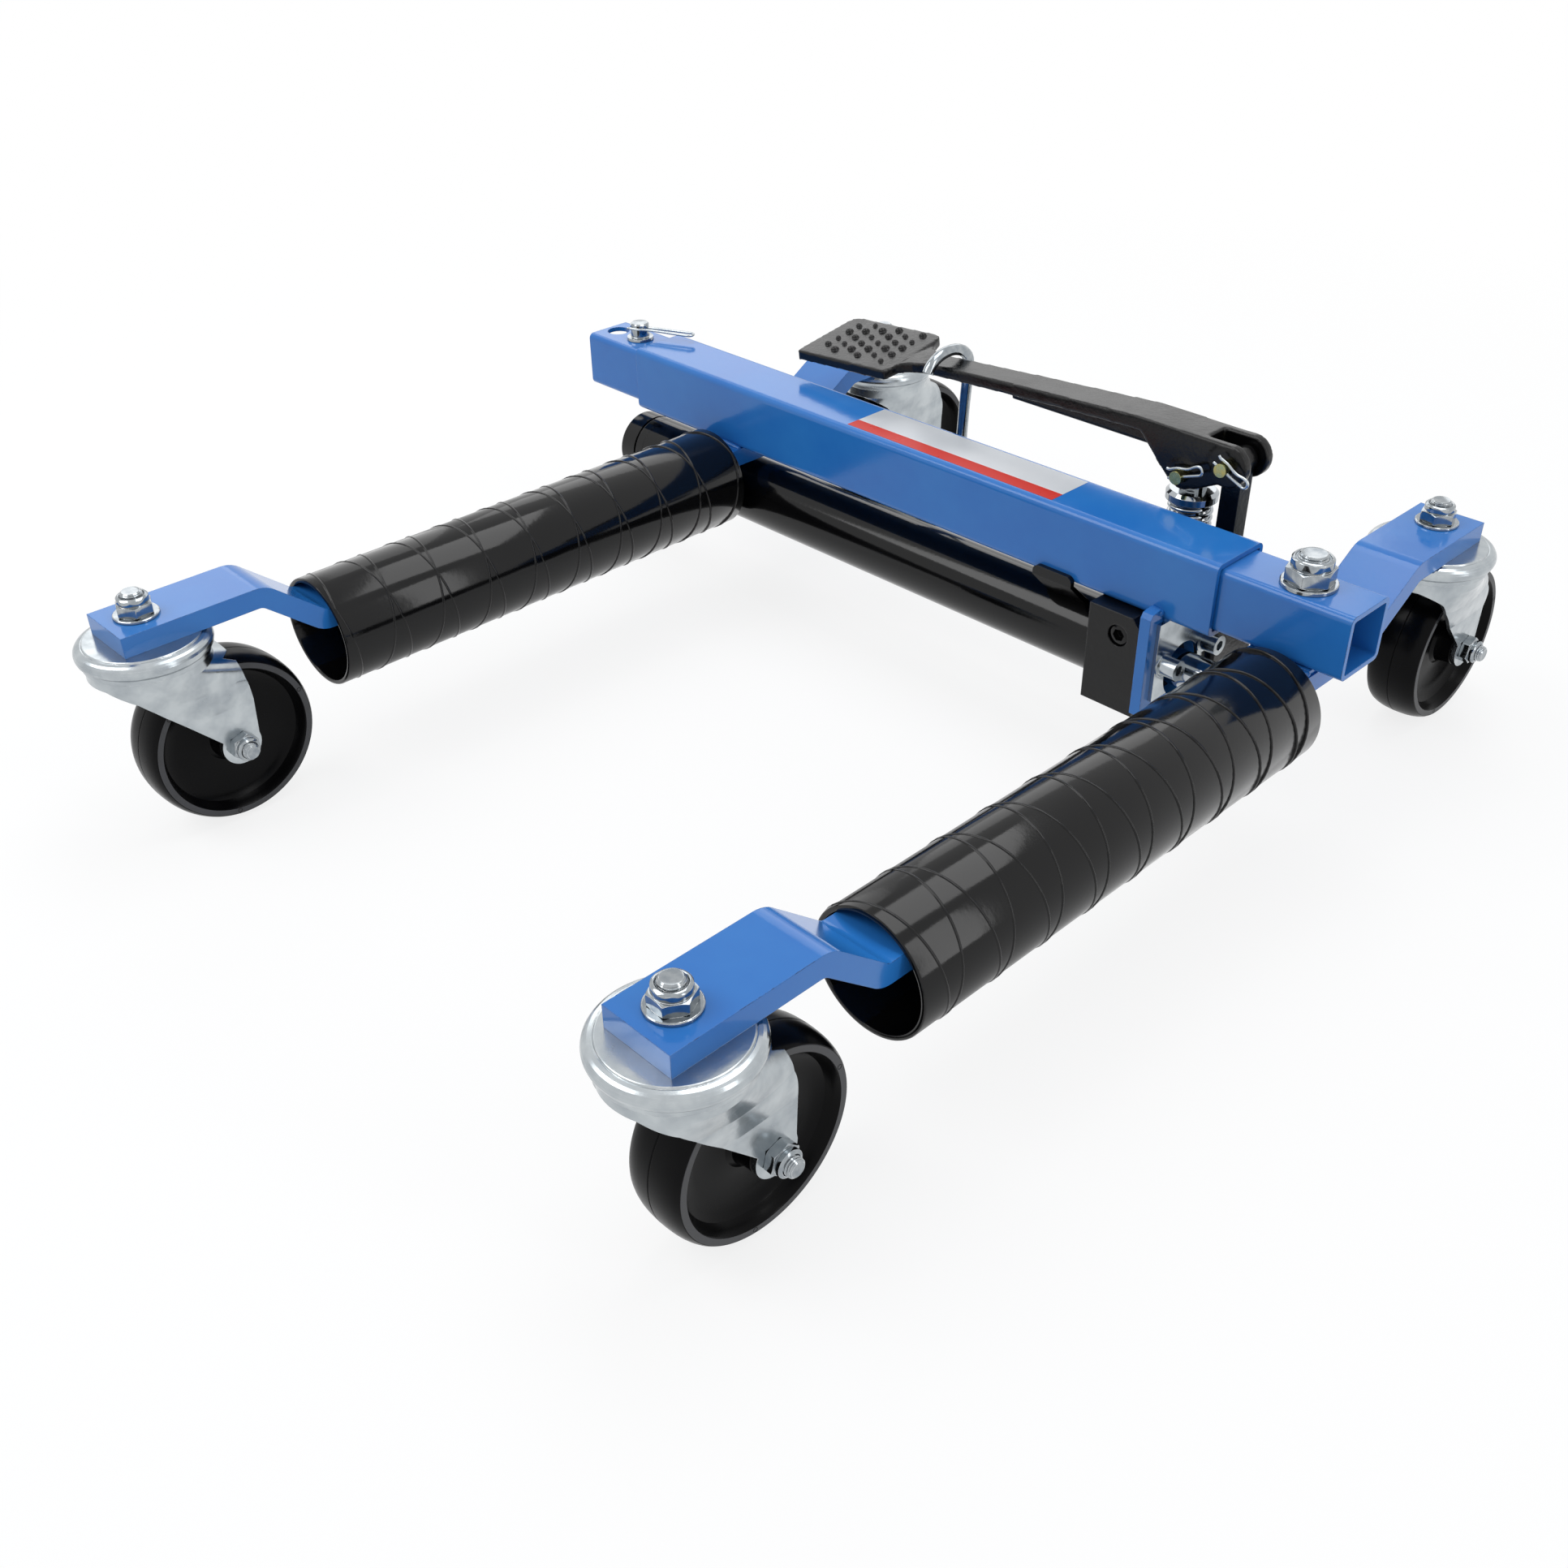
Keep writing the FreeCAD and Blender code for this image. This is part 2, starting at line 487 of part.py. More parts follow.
def pump_lever():
    """Add the cast lever: pedal pad, neck, arm with its rib, forked head with two bosses, and its pins."""
    x = "tube_left + "
    side_line = [(x + "pad_left", "pad_tip_top - pad_thick"), (x + "pad_left", "pad_tip_top"),
                 (x + "pad_right", "pad_top"), (x + "neck_x", "neck_top"), (x + "elbow_x", "elbow_top"),
                 (x + "pivot_x", "pivot_pin + 12"), (x + "pivot_x - 6", "pivot_pin - 2"),
                 (x + "elbow_x + 6", "elbow_top - arm_thick - 3"),
                 (x + "elbow_x", "elbow_top - arm_thick - 2"), (x + "neck_x", "neck_top - arm_thick"),
                 (x + "pad_right", "pad_top - pad_thick")]
    half_pad, half_arm = "pad_width/2", "arm_width/2"
    edge_line = [("pad_left", half_pad), ("pad_right", half_pad), ("neck_x", half_arm),
                 ("pivot_x + 1", half_arm)]
    plan_line = [(x + across, "pump_line - " + half) for across, half in edge_line]
    plan_line += [(x + across, "pump_line + " + half) for across, half in reversed(edge_line)]
    profile = plate("LeverProfile", "XZ_Plane", side_line, "0 - pump_line - pad_width/2 - 1", "pad_width + 2")
    plan = plate("LeverPlan", "XY_Plane", plan_line, "pad_tip_top - 20", "60")
    reach = number("tube_left + pivot_x")
    round_edges(plan, "LeverPlanCorners", "pad_corner",
                lambda edge: lies_along(edge, 2) and edge.Vertexes[0].X < reach)
    arm = doc.addObject("Part::Common", "LeverArm")
    arm.Base = profile
    arm.Tool = plan
    cheek_line = [(x + "elbow_x + 2", "elbow_top - 0.1"), (x + "pivot_x + 2", "pivot_pin + 12.4"),
                  (x + "pivot_x + 8", "pivot_pin - 4"), (x + "pivot_x - 4", "pivot_pin - 11"),
                  (x + "plunger_x + 7", "plunger_pin - 6"), (x + "plunger_x - 7", "plunger_pin - 6"),
                  (x + "elbow_x + 2", "elbow_top - arm_thick - 2")]
    cheeks = plate("LeverCheeks", "XZ_Plane", cheek_line, "0 - pump_line - cheek_width/2", "cheek_width")
    start = "pump_line - cheek_width/2"
    bosses = [rod("LeverPivotBoss", "pivot_boss", "cheek_width", ("pivot_line", start, "pivot_pin"), "y"),
              rod("LeverPlungerBoss", "plunger_boss", "cheek_width",
                  ("plunger_line", start, "plunger_pin"), "y")]
    rib = box("LeverRib", ("elbow_x - rib_start", "rib_thick", "rib_deep"),
              (x + "rib_start", "pump_line - rib_thick/2", "elbow_top - arm_thick - rib_deep"))
    solid = fuse("LeverSolid", arm, cheeks, rib, *bosses)
    gap = box("LeverGap", ("80", "cheek_gap", "plunger_pin + 14 - 140"),
              (x + "plunger_x - 13", "pump_line - cheek_gap/2", "140"))
    mouth = box("LeverMouth", ("60", "cheek_gap", "80"),
                (x + "pivot_x - 17", "pump_line - cheek_gap/2", "140"))
    holes = [rod("LeverPivotHole", "pin_radius + 0.02", "cheek_width + 4",
                 ("pivot_line", start + " - 2", "pivot_pin"), "y"),
             rod("LeverPlungerHole", "pin_radius + 0.02", "cheek_width + 4",
                 ("plunger_line", start + " - 2", "plunger_pin"), "y")]
    node("pump_lever", cut("PumpLever", solid, gap, mouth, *holes))
    clip_face = start + " - 4.5"
    for name, across, up, angle in (("pivot", "pivot_line", "pivot_pin", 25),
                                    ("plunger", "plunger_line", "plunger_pin", -20)):
        title = name.capitalize()
        shaft = rod(title + "PinShaft", "pin_radius", "cheek_width + 9", (across, start + " - 7", up), "y")
        head = rod(title + "PinHead", "pin_radius + 2", "2", (across, start + " + cheek_width", up), "y")
        way = clip_way(title + "PinWay", (across, clip_face, up), number("pin_radius"), angle)
        node(name + "_pin", cut(title + "Pin", fuse(title + "PinSolid", shaft, head), way))
        hairpin(name + "_clip", (across, clip_face, up), number("pin_radius"), number("clip_reach"),
                FreeCAD.Rotation(FreeCAD.Vector(0, 1, 0), angle))


def hairpin(label, point, pin, reach, turns):
    """Add a spring-wire clip round a pin: a straight leg through it, a bow and a wavy leg that grips it."""
    wire = number("clip_wire")
    lift = pin + wire + 0.3
    leg = pin + reach
    start = FreeCAD.Vector(-pin - 2.5, 0, 0)
    bend = FreeCAD.Vector(leg, 0, 0)
    straight = Part.makeLine(start, bend)
    bow = Part.Arc(bend, FreeCAD.Vector(leg + lift / 2, 0, lift / 2), FreeCAD.Vector(leg, 0, lift)).toShape()
    waves = [(leg, lift, 0.0), (pin + 3, lift - 1.0, 0.1), (0, lift, 0.0), (-pin - 2, lift + 0.6, 0.7)]
    arcs = []
    for (near, low, dip), (far, high, rise) in zip(waves, waves[1:]):
        arcs += biarc(FreeCAD.Vector(near, 0, low), FreeCAD.Vector(-1, 0, dip).normalize(),
                      FreeCAD.Vector(far, 0, high), FreeCAD.Vector(-1, 0, rise).normalize())
    ring = Part.Wire([Part.makeCircle(wire, start, FreeCAD.Vector(1, 0, 0))])
    clip = doc.addObject("Part::Feature", label.title().replace("_", ""))
    clip.Shape = Part.Wire([straight, bow] + arcs).makePipeShell([ring], True, False)
    clip.Placement = FreeCAD.Placement(FreeCAD.Vector(), turns)
    for axis, text in zip("xyz", point):
        clip.setExpression("Placement.Base." + axis, cells(text))
    return node(label, clip)


def clip_way(name, point, pin, angle):
    """Give the cross hole of a pin along Y, turned about Y by an angle in degrees."""
    reach = pin + 4.0
    way = rod(name, "clip_wire + 0.1", str(2 * reach), point, "x")
    way.Placement = FreeCAD.Placement(FreeCAD.Vector(), FreeCAD.Rotation(FreeCAD.Vector(0, 1, 0), 90 + angle))
    back = math.cos(math.radians(angle)) * reach
    lift = math.sin(math.radians(angle)) * reach
    way.setExpression("Placement.Base.x", cells(point[0] + " - " + str(round(back, 4))))
    way.setExpression("Placement.Base.z", cells(point[2] + " + " + str(round(lift, 4))))
    return way


def lock_pin():
    """Add the vertical pin that keeps the inner tube from being drawn out, and its long clip."""
    top = "tube_height + inner_size/2"
    shaft = rod("LockPinShaft", "lock_radius", "inner_size + 26",
                ("lock_line", "tube_y", "tube_height - inner_size/2 - 8"))
    collar = rod("LockPinCollar", "lock_collar", "2.5", ("lock_line", "tube_y", top))
    across, back = "2*lock_radius*cos(lock_clip_turn)", "2*lock_radius*sin(lock_clip_turn)"
    way = rod("LockPinWay", "clip_wire + 0.1", "4*lock_radius",
              ("lock_line - " + across, "tube_y - " + back, top + " + 9"), "x")
    turn = FreeCAD.Rotation(FreeCAD.Vector(0, 0, 1), number("lock_clip_turn"))
    way.Placement = FreeCAD.Placement(FreeCAD.Vector(), turn.multiply(ALONG["x"]))
    node("lock_pin", cut("LockPin", fuse("LockPinSolid", shaft, collar), way))
    lay = FreeCAD.Rotation(FreeCAD.Vector(1, 0, 0), 90)
    hairpin("lock_pin_clip", ("lock_line", "tube_y", top + " + 9"), number("lock_radius"),
            number("lock_clip_reach"), turn.multiply(lay))


def cross_bolt():
    """Add the bolt through the inner tube, the right bar and the rod's eye, with all that it clamps."""
    head_top = "ram_z - eye_half"
    bolt = rod("CrossBoltShaft", "bolt_radius", "tube_height + inner_size/2 + 22 - (" + head_top + ") + 1",
               ("right_x", "tube_y", head_top + " - 1"))
    head = hexagon("CrossBoltHead", "bolt_corner", "10", ("right_x", "tube_y", head_top + " - 10"))
    node("cross_bolt", fuse("CrossBolt", bolt, head))
    locknut("CrossNut", "cross_nut", ("right_x", "tube_y", "tube_height + inner_size/2"), "bolt_radius",
            "bolt_washer", "bolt_corner")
    spacer = box("SpacerSolid", ("inner_size", "inner_size", "tube_height - inner_size/2 - (low_top)"),
                 ("right_x - inner_size/2", "tube_y - inner_size/2", "low_top"))
    hole = rod("SpacerHole", "bolt_radius + 0.1", "20", ("right_x", "tube_y", "low_top - 5"))
    node("bar_spacer", cut("BarSpacer", spacer, hole))
    start = "ram_z + eye_half"
    sleeve = rod("SleeveSolid", "sleeve_radius", "low_base - (" + start + ")", ("right_x", "tube_y", start))
    hole = rod("SleeveHole", "bolt_radius + 0.1", "40", ("right_x", "tube_y", start + " - 5"))
    node("bolt_sleeve", cut("BoltSleeve", sleeve, hole))


def hook():
    """Add the wire hook that holds the pedal when it is put away, and the lug it swings on."""
    line = "tube_y + hook_y"
    eye = rod("HookEye", "hook_eye", "9", ("hook_line - 4.5", line, "hook_pivot"), "x")
    shank = rod("HookShank", "hook_wire", "hook_top - hook_pivot - 4", ("hook_line", line, "hook_pivot + 4"))
    bend = doc.addObject("Part::Torus", "HookBend")
    bend.setExpression("Radius1", cells("hook_bend"))
    bend.setExpression("Radius2", cells("hook_wire"))
    bend.Angle3 = 180.0
    bend.Placement = FreeCAD.Placement(FreeCAD.Vector(), FreeCAD.Rotation(FreeCAD.Vector(0, 1, 0), 90)
                                       .multiply(FreeCAD.Rotation(FreeCAD.Vector(0, 0, 1), 90)))
    for axis, text in zip("xyz", ("hook_line", line + " - hook_bend", "hook_top")):
        bend.setExpression("Placement.Base." + axis, cells(text))
    hole = rod("HookHole", "hook_pin + fit", "12", ("hook_line - 6", line, "hook_pivot"), "x")
    node("pedal_hook", cut("PedalHook", fuse("HookSolid", eye, shank, bend), hole))
    corners = [("tube_y + tube_size/2", "hook_pivot - 2"), ("tube_y + tube_size/2", "hook_pivot + 9"),
               (line + " + 4", "hook_pivot + 6"), (line + " + 8", "hook_pivot"),
               (line + " + 4", "hook_pivot - 8"), (line + " - 6", "hook_pivot - 8")]
    lug = plate("LugSolid", "YZ_Plane", corners, "hook_line + 4.8", "5")
    pin = rod("LugPin", "hook_pin", "12", ("hook_line - 6", line, "hook_pivot"), "x")
    head = rod("LugPinHead", "hook_pin + 2", "2", ("hook_line - 6.8", line, "hook_pivot"), "x")
    node("hook_lug", fuse("HookLug", lug, pin, head))


def pressed_shell(name, middle, king, inset):
    """Loft a pressed fork's round crown down to its two flat legs; the inset gives the sheet's inner face."""
    flat = "fork_gap/2 + fork_wall"
    foot = "(caster_height - wheel_radius + hub_radius + 6.5)"
    sections = [("2.8", "22", "22.1", "0"), ("12", "33", "33.1", "0"), ("19", "32", "34", "0.5"),
                ("36", "25.5", "60", "0.4*trail"), ("52", flat, "140", "0.9*trail"),
                (foot, flat, "160", "trail")]
    rings = []
    for level, (drop, half, long_half, shift) in enumerate(sections):
        ring = doc.addObject("Part::Ellipse", name + "Ring" + str(level))
        ring.setExpression("MajorRadius", cells(long_half + " - " + inset))
        ring.setExpression("MinorRadius", cells(half + " - " + inset))
        ring.Placement = FreeCAD.Placement(FreeCAD.Vector(), FreeCAD.Rotation(FreeCAD.Vector(0, 0, 1), 90))
        point = (middle, king + " + " + shift, "caster_height - " + drop + " - " + inset)
        for axis, text in zip("xyz", point):
            ring.setExpression("Placement.Base." + axis, cells(text))
        rings.append(ring)
    loft = doc.addObject("Part::Loft", name)
    loft.Sections = rings
    loft.Solid = True
    loft.Ruled = True
    return loft


def caster(corner, middle, king):
    """Add one swivel caster: cap, king bolt and nut, pressed fork, wheel and axle."""
    name = "Caster" + corner.title().replace("_", "")
    at = (middle, king, "caster_height")
    axle_z = "wheel_radius"
    axle_y = king + " + trail"
    cap = [("king_radius + 0.1", "0"), ("25", "0"), ("caster_cap", "-8"), ("caster_cap", "-12.5"),
           ("caster_cap - sheet", "-12.5"), ("caster_cap - sheet", "-10"), ("24", "0 - sheet"),
           ("king_radius + 0.1", "0 - sheet")]
    node("caster_cap_" + corner, turned(name + "Cap", cap, at))
    outside = pressed_shell(name + "Outside", middle, king, "0")
    inside = pressed_shell(name + "Inside", middle, king, "fork_wall")
    side_line = [(king + " - 40", "caster_height"), (king + " - 40", "caster_height - 17.5"),
                 (king + " - 31", "caster_height - 19"), (king + " - 20", "caster_height - 27"),
                 (king + " - 8", "caster_height - 40"), (axle_y + " - 10.5", "wheel_radius + 5"),
                 (axle_y, "wheel_radius - 1"), (axle_y + " + 11.5", "wheel_radius + 3"),
                 (axle_y + " + 12.5", "wheel_radius + 25"), (king + " + 40", "caster_height - 19"),
                 (king + " + 40", "caster_height")]
    across = "2*fork_gap"
    sides = fuse(name + "Sides", plate(name + "Side", "YZ_Plane", side_line, middle + " - fork_gap", across),
                 rod(name + "Boss", "hub_radius", across, (middle + " - fork_gap", axle_y, axle_z), "x"))
    pressed = doc.addObject("Part::Common", name + "Pressed")
    wheel_way = rod(name + "WheelWay", "wheel_radius + 3", "wheel_width + 4",
                    (middle + " - wheel_width/2 - 2", axle_y, axle_z), "x")
    pressed.Base = cut(name + "Open", cut(name + "Shell", outside, inside), wheel_way)
    pressed.Tool = sides
    holes = [rod(name + "AxleHole", "axle_radius + 0.02", "60", (middle + " - 30", axle_y, axle_z), "x"),
             rod(name + "KingHole", "king_radius + fit", "20", (middle, king, "caster_height - 15"))]
    node("caster_fork_" + corner, cut(name + "Fork", pressed, *holes))
    base = "caster_height - 3 - fork_wall"
    shaft = rod(name + "KingShaft", "king_radius", "bar_thick + 22 + fork_wall",
                (middle, king, base + " - 4"))
    head = hexagon(name + "KingHead", "king_corner", "7", (middle, king, base + " - 7"))
    node("king_bolt_" + corner, fuse(name + "King", shaft, head))
    locknut(name + "Nut", "king_nut_" + corner, (middle, king, "flat_top"), "king_radius", "king_washer",
            "king_corner")
    half = "wheel_width/2"
    hub = "fork_gap/2 - slack"
    side = [(hub, "axle_radius + fit"), (hub, "hub_radius"), ("6", "hub_radius + 3"),
            ("6", "wheel_radius*0.74"),
            (half, "wheel_radius*0.86"), (half, "wheel_radius - 5"), (half + " - 5", "wheel_radius")]
    profile = [(up, "0 - (" + across + ")") for across, up in side]
    profile += [(up, across) for across, up in reversed(side)]
    node("caster_wheel_" + corner, turned(name + "Wheel", profile, (middle, axle_y, axle_z), "x"))
    reach = "fork_gap/2 + fork_wall"
    axle = rod(name + "AxleShaft", "axle_radius", "2*(" + reach + ") + 12",
               (middle + " - (" + reach + ") - 1", axle_y, axle_z), "x")
    head = hexagon(name + "AxleHead", "axle_corner", "6",
                   (middle + " - (" + reach + ") - 6", axle_y, axle_z), "x")
    nut = hexagon(name + "AxleNut", "axle_corner", "8", (middle + " + " + reach, axle_y, axle_z), "x")
    node("caster_axle_" + corner, fuse(name + "Axle", axle, head, nut))


cross_tubes()
side_bar("LeftBar", "left_side_bar", "left_x", False)
side_bar("RightBar", "right_side_bar", "right_x", True)
roller("LeftRoller", "left_roller", "left_x", "left_roller_back")
roller("RightRoller", "right_roller", "right_x", "right_roller_back")
ram()
pump_block()
plunger()
pump_lever()
lock_pin()
cross_bolt()
hook()
for corner, middle, king in (("front_left", "left_x", "tube_y - front_king"),
                             ("front_right", "right_x", "tube_y - front_king"),
                             ("rear_left", "left_x", "tube_y + rear_king"),
                             ("rear_right", "right_x", "tube_y + rear_king")):
    caster(corner, middle, king)

doc.removeObject("Probe")
doc.recompute()
for piece in nodes:
    if "Invalid" in piece.State or "Error" in piece.State or not piece.Shape.isValid():
        raise RuntimeError(piece.Label + " did not build " + str(piece.State))
    if len(piece.Shape.Solids) != 1:
        raise RuntimeError(piece.Label + " has " + str(len(piece.Shape.Solids)) + " solids")
os.makedirs("parts", exist_ok=True)
for piece in nodes:
    piece.Shape.exportStep("parts/" + piece.Label + ".step")
print(len(nodes), "sub-parts written")
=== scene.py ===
"""Looks of a vehicle positioning jack: painted tubes, ribbed rollers, zinc casters and a cast foot pedal."""
import json
import logging
import math
from dataclasses import dataclass
from enum import Enum
from typing import Any, Callable, Sequence

import bmesh
import bpy
from mathutils import Matrix, Vector


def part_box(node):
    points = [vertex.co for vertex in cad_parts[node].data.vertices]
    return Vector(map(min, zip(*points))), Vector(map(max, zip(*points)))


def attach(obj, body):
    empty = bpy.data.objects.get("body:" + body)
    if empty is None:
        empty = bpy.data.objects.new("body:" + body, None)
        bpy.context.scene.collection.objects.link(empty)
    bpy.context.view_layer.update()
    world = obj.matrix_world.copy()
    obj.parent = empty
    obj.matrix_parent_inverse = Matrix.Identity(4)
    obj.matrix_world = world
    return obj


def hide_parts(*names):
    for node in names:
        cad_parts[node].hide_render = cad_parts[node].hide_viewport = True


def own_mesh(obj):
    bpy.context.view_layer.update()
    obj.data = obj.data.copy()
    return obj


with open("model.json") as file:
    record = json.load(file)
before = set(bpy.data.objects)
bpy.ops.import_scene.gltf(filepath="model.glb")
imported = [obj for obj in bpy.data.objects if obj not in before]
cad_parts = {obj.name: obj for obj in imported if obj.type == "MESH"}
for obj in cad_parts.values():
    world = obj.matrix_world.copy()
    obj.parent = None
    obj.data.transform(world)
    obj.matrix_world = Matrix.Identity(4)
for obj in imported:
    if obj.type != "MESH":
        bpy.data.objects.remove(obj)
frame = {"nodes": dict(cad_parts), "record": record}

logging.basicConfig(level=logging.INFO, format="%(message)s")
LOG = logging.getLogger("jack")

MM = 0.001
CLEARCOAT_ROUGHNESS = 0.06
# Points closer than this, in metres, are the same point.
SAME = 1e-6
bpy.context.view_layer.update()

Piece = bpy.types.Object
Tree = bpy.types.NodeTree
Socket = bpy.types.NodeSocket
Point = tuple[float, float, float]
Pair = tuple[float, float]


class Corner(Enum):
    """The four casters, by where they stand under the jack."""

    FRONT_LEFT = "front_left"
    FRONT_RIGHT = "front_right"
    REAR_LEFT = "rear_left"
    REAR_RIGHT = "rear_right"

    @property
    def carrier(self) -> str:
        """Return the body that carries the caster's bolt: the right bar slides, the left one doesn't."""
        return "slider" if self in (Corner.FRONT_RIGHT, Corner.REAR_RIGHT) else "frame"


class Hand(Enum):
    """The way a raised bead winds round its roller."""

    RIGHT = 1
    LEFT = -1


# Colour and shader nodes


def linear(code: str) -> tuple[float, float, float, float]:
    """Turn a hex sRGB colour into the linear colour that shaders take.

    Args:
        code: Six hex digits, with or without a leading hash.

    Returns:
        Red, green and blue in linear light, and an alpha of 1.
    """
    digits = code.lstrip("#")
    channels = [int(digits[start:start + 2], 16) / 255 for start in (0, 2, 4)]
    red, green, blue = [c / 12.92 if c <= 0.04045 else ((c + 0.055) / 1.055) ** 2.4 for c in channels]
    return red, green, blue, 1.0


def add_node(tree: Tree, kind: str, settings: dict[str, Any] | None = None,
             inputs: dict[Any, Any] | None = None) -> bpy.types.Node:
    """Add one shader node with its settings, values and links.

    Args:
        tree: The material's or world's node tree.
        kind: The node's type without its ShaderNode prefix, such as TexNoise.
        settings: Properties of the node itself.
        inputs: Sockets by name or number; an output socket is linked and anything else is set as its value.

    Returns:
        The new node.
    """
    node = tree.nodes.new("ShaderNode" + kind)
    for name, value in (settings or {}).items():
        setattr(node, name, value)
    for key, value in (inputs or {}).items():
        socket = node.inputs[key]
        if isinstance(value, Socket):
            tree.links.new(value, socket)
        else:
            socket.default_value = value
    return node


def ramp(tree: Tree, factor: Socket, stops: Sequence[tuple[float, str]]) -> Socket:
    """Map a factor to colours.

    Args:
        tree: The node tree.
        factor: The socket that drives the ramp.
        stops: Places from 0 to 1, each with a hex colour.

    Returns:
        The ramp's colour socket.
    """
    node = add_node(tree, "ValToRGB", inputs={"Fac": factor})
    elements = node.color_ramp.elements
    while len(elements) < len(stops):
        elements.new(0.5)
    for element, (place, code) in zip(elements, stops):
        element.position = place
        element.color = linear(code)
    return node.outputs["Color"]


def span(tree: Tree, value: Socket, source: Pair, target: Pair) -> Socket:
    """Map a value from one range to another, clamped.

    Args:
        tree: The node tree.
        value: The socket to map.
        source: The lowest and highest value that come in.
        target: What they become.

    Returns:
        The mapped value's socket.
    """
    node = add_node(tree, "MapRange", inputs={
        "Value": value, "From Min": source[0], "From Max": source[1], "To Min": target[0], "To Max": target[1]})
    return node.outputs["Result"]


@dataclass(frozen=True)
class Finish:
    """A finish with one look all over: its colour, its gloss and the grain of its surface.

    Attributes:
        name: What a maker calls the finish.
        slot: The record's material slot that it paints.
        colour: Its usual colour.
        shade: A second colour that drifts in over a hand's width.
        metallic: 1 for bare metal, 0 for paint and plastic.
        roughness: Its lowest and highest roughness.
        coat: How much clear gloss lies over it.
        specular: How strongly it mirrors seen straight on; 0.5 is a plain plastic.
        grain_mm: The width of one lump of its grain.
        depth_mm: How far the grain stands up.
        cloud_mm: The width of its slow drift in colour and gloss.
        edge_mm: The radius to which its sharp edges are broken.
        worn: Its colour where an edge is rubbed, or None where it doesn't rub.
        wear: How much of its edges is rubbed, from 0 to 1.
    """

    name: str
    slot: str
    colour: str
    shade: str
    metallic: float = 0.0
    roughness: Pair = (0.3, 0.4)
    coat: float = 0.0
    specular: float = 0.5
    grain_mm: float = 2.0
    depth_mm: float = 0.02
    cloud_mm: float = 60.0
    edge_mm: float = 0.5
    worn: str | None = None
    wear: float = 0.0

    def build(self) -> bpy.types.Material:
        """Make the finish's material, once.

        Returns:
            The material, shared by every piece of this finish.
        """
        found = bpy.data.materials.get(self.name)
        if found:
            return found
        material = bpy.data.materials.new(self.name)
        material.use_nodes = True
        tree = material.node_tree
        shader = tree.nodes["Principled BSDF"]
        place = add_node(tree, "TexCoord").outputs["Object"]
        cloud = add_node(tree, "TexNoise", inputs={
            "Vector": place, "Scale": 1 / (self.cloud_mm * MM), "Detail": 3.0, "Roughness": 0.55}).outputs["Fac"]
        grain = add_node(tree, "TexNoise", inputs={
            "Vector": place, "Scale": 1 / (self.grain_mm * MM), "Detail": 4.0, "Roughness": 0.6}).outputs["Fac"]
        colour = ramp(tree, cloud, ((0.35, self.colour), (0.68, self.shade)))
        rounded = add_node(tree, "Bevel", {"samples": 4}, {"Radius": self.edge_mm * MM}).outputs["Normal"]
        if self.worn:
            colour = self.mixed(tree, self.edges(tree, place, rounded), colour, self.worn)
        tree.links.new(colour, shader.inputs["Base Color"])
        gloss = span(tree, cloud, (0.3, 0.7), self.roughness)
        tree.links.new(gloss, shader.inputs["Roughness"])
        shader.inputs["Metallic"].default_value = self.metallic
        shader.inputs["Coat Weight"].default_value = self.coat
        shader.inputs["Coat Roughness"].default_value = CLEARCOAT_ROUGHNESS
        shader.inputs["Specular IOR Level"].default_value = self.specular
        bump = add_node(tree, "Bump", inputs={
            "Height": grain, "Distance": self.depth_mm * MM, "Strength": 1.0, "Normal": rounded})
        tree.links.new(bump.outputs["Normal"], shader.inputs["Normal"])
        return material

    def mixed(self, tree: Tree, factor: Socket, under: Socket, over: str) -> Socket:
        """Lay a colour over another by a mask.

        Args:
            tree: The node tree.
            factor: The mask.
            under: The colour where the mask is 0.
            over: The hex colour where it is 1.

        Returns:
            The mixed colour's socket.
        """
        node = add_node(tree, "Mix", {"data_type": "RGBA"}, {"Factor": factor, 6: under, 7: linear(over)})
        return node.outputs[2]

    def edges(self, tree: Tree, place: Socket, rounded: Socket) -> Socket:
        """Find rubbed edges: where the broken edge's normal leaves the face's, in patches.

        Args:
            tree: The node tree.
            place: Object coordinates.
            rounded: The normal with its edges broken.

        Returns:
            A mask that is 1 on rubbed edges.
        """
        flat = add_node(tree, "NewGeometry").outputs["Normal"]
        turn = add_node(tree, "VectorMath", {"operation": "DOT_PRODUCT"}, {0: rounded, 1: flat}).outputs["Value"]
        edge = span(tree, turn, (0.985, 0.93), (0.0, 1.0))
        patch = add_node(tree, "TexNoise", inputs={
            "Vector": place, "Scale": 1 / (9 * MM), "Detail": 5.0, "Roughness": 0.7}).outputs["Fac"]
        bare = 0.66 - 0.3 * self.wear
        chips = span(tree, patch, (bare, bare + 0.06), (0.0, 1.0))
        return add_node(tree, "Math", {"operation": "MULTIPLY"}, {0: edge, 1: chips}).outputs["Value"]


# Powder coat leaves a faint orange peel under a deep gloss.
BLUE_PAINT = Finish("gloss blue powder coat", "blue_paint", "256BB8", "2B74BE", roughness=(0.1, 0.17), coat=0.15,
                    specular=0.32, grain_mm=4.2, depth_mm=0.05, edge_mm=0.7, worn="16345F", wear=0.4)
# Dipped black enamel on steel tube, with long soft reflections.
BLACK_ENAMEL = Finish("gloss black enamel", "gloss_black", "060607", "09090A", roughness=(0.08, 0.14), coat=0.1,
                      specular=0.25, grain_mm=3.0, depth_mm=0.03, edge_mm=0.5)
# Sand-cast iron under thin black paint: a grainy skin with pale rubbed corners.
BLACK_CASTING = Finish("painted sand casting", "black_casting", "060607", "0A0A0B", roughness=(0.12, 0.26),
                       specular=0.3, grain_mm=2.4, depth_mm=0.2, cloud_mm=18.0, edge_mm=1.2, worn="3A3A3E",
                       wear=0.35)
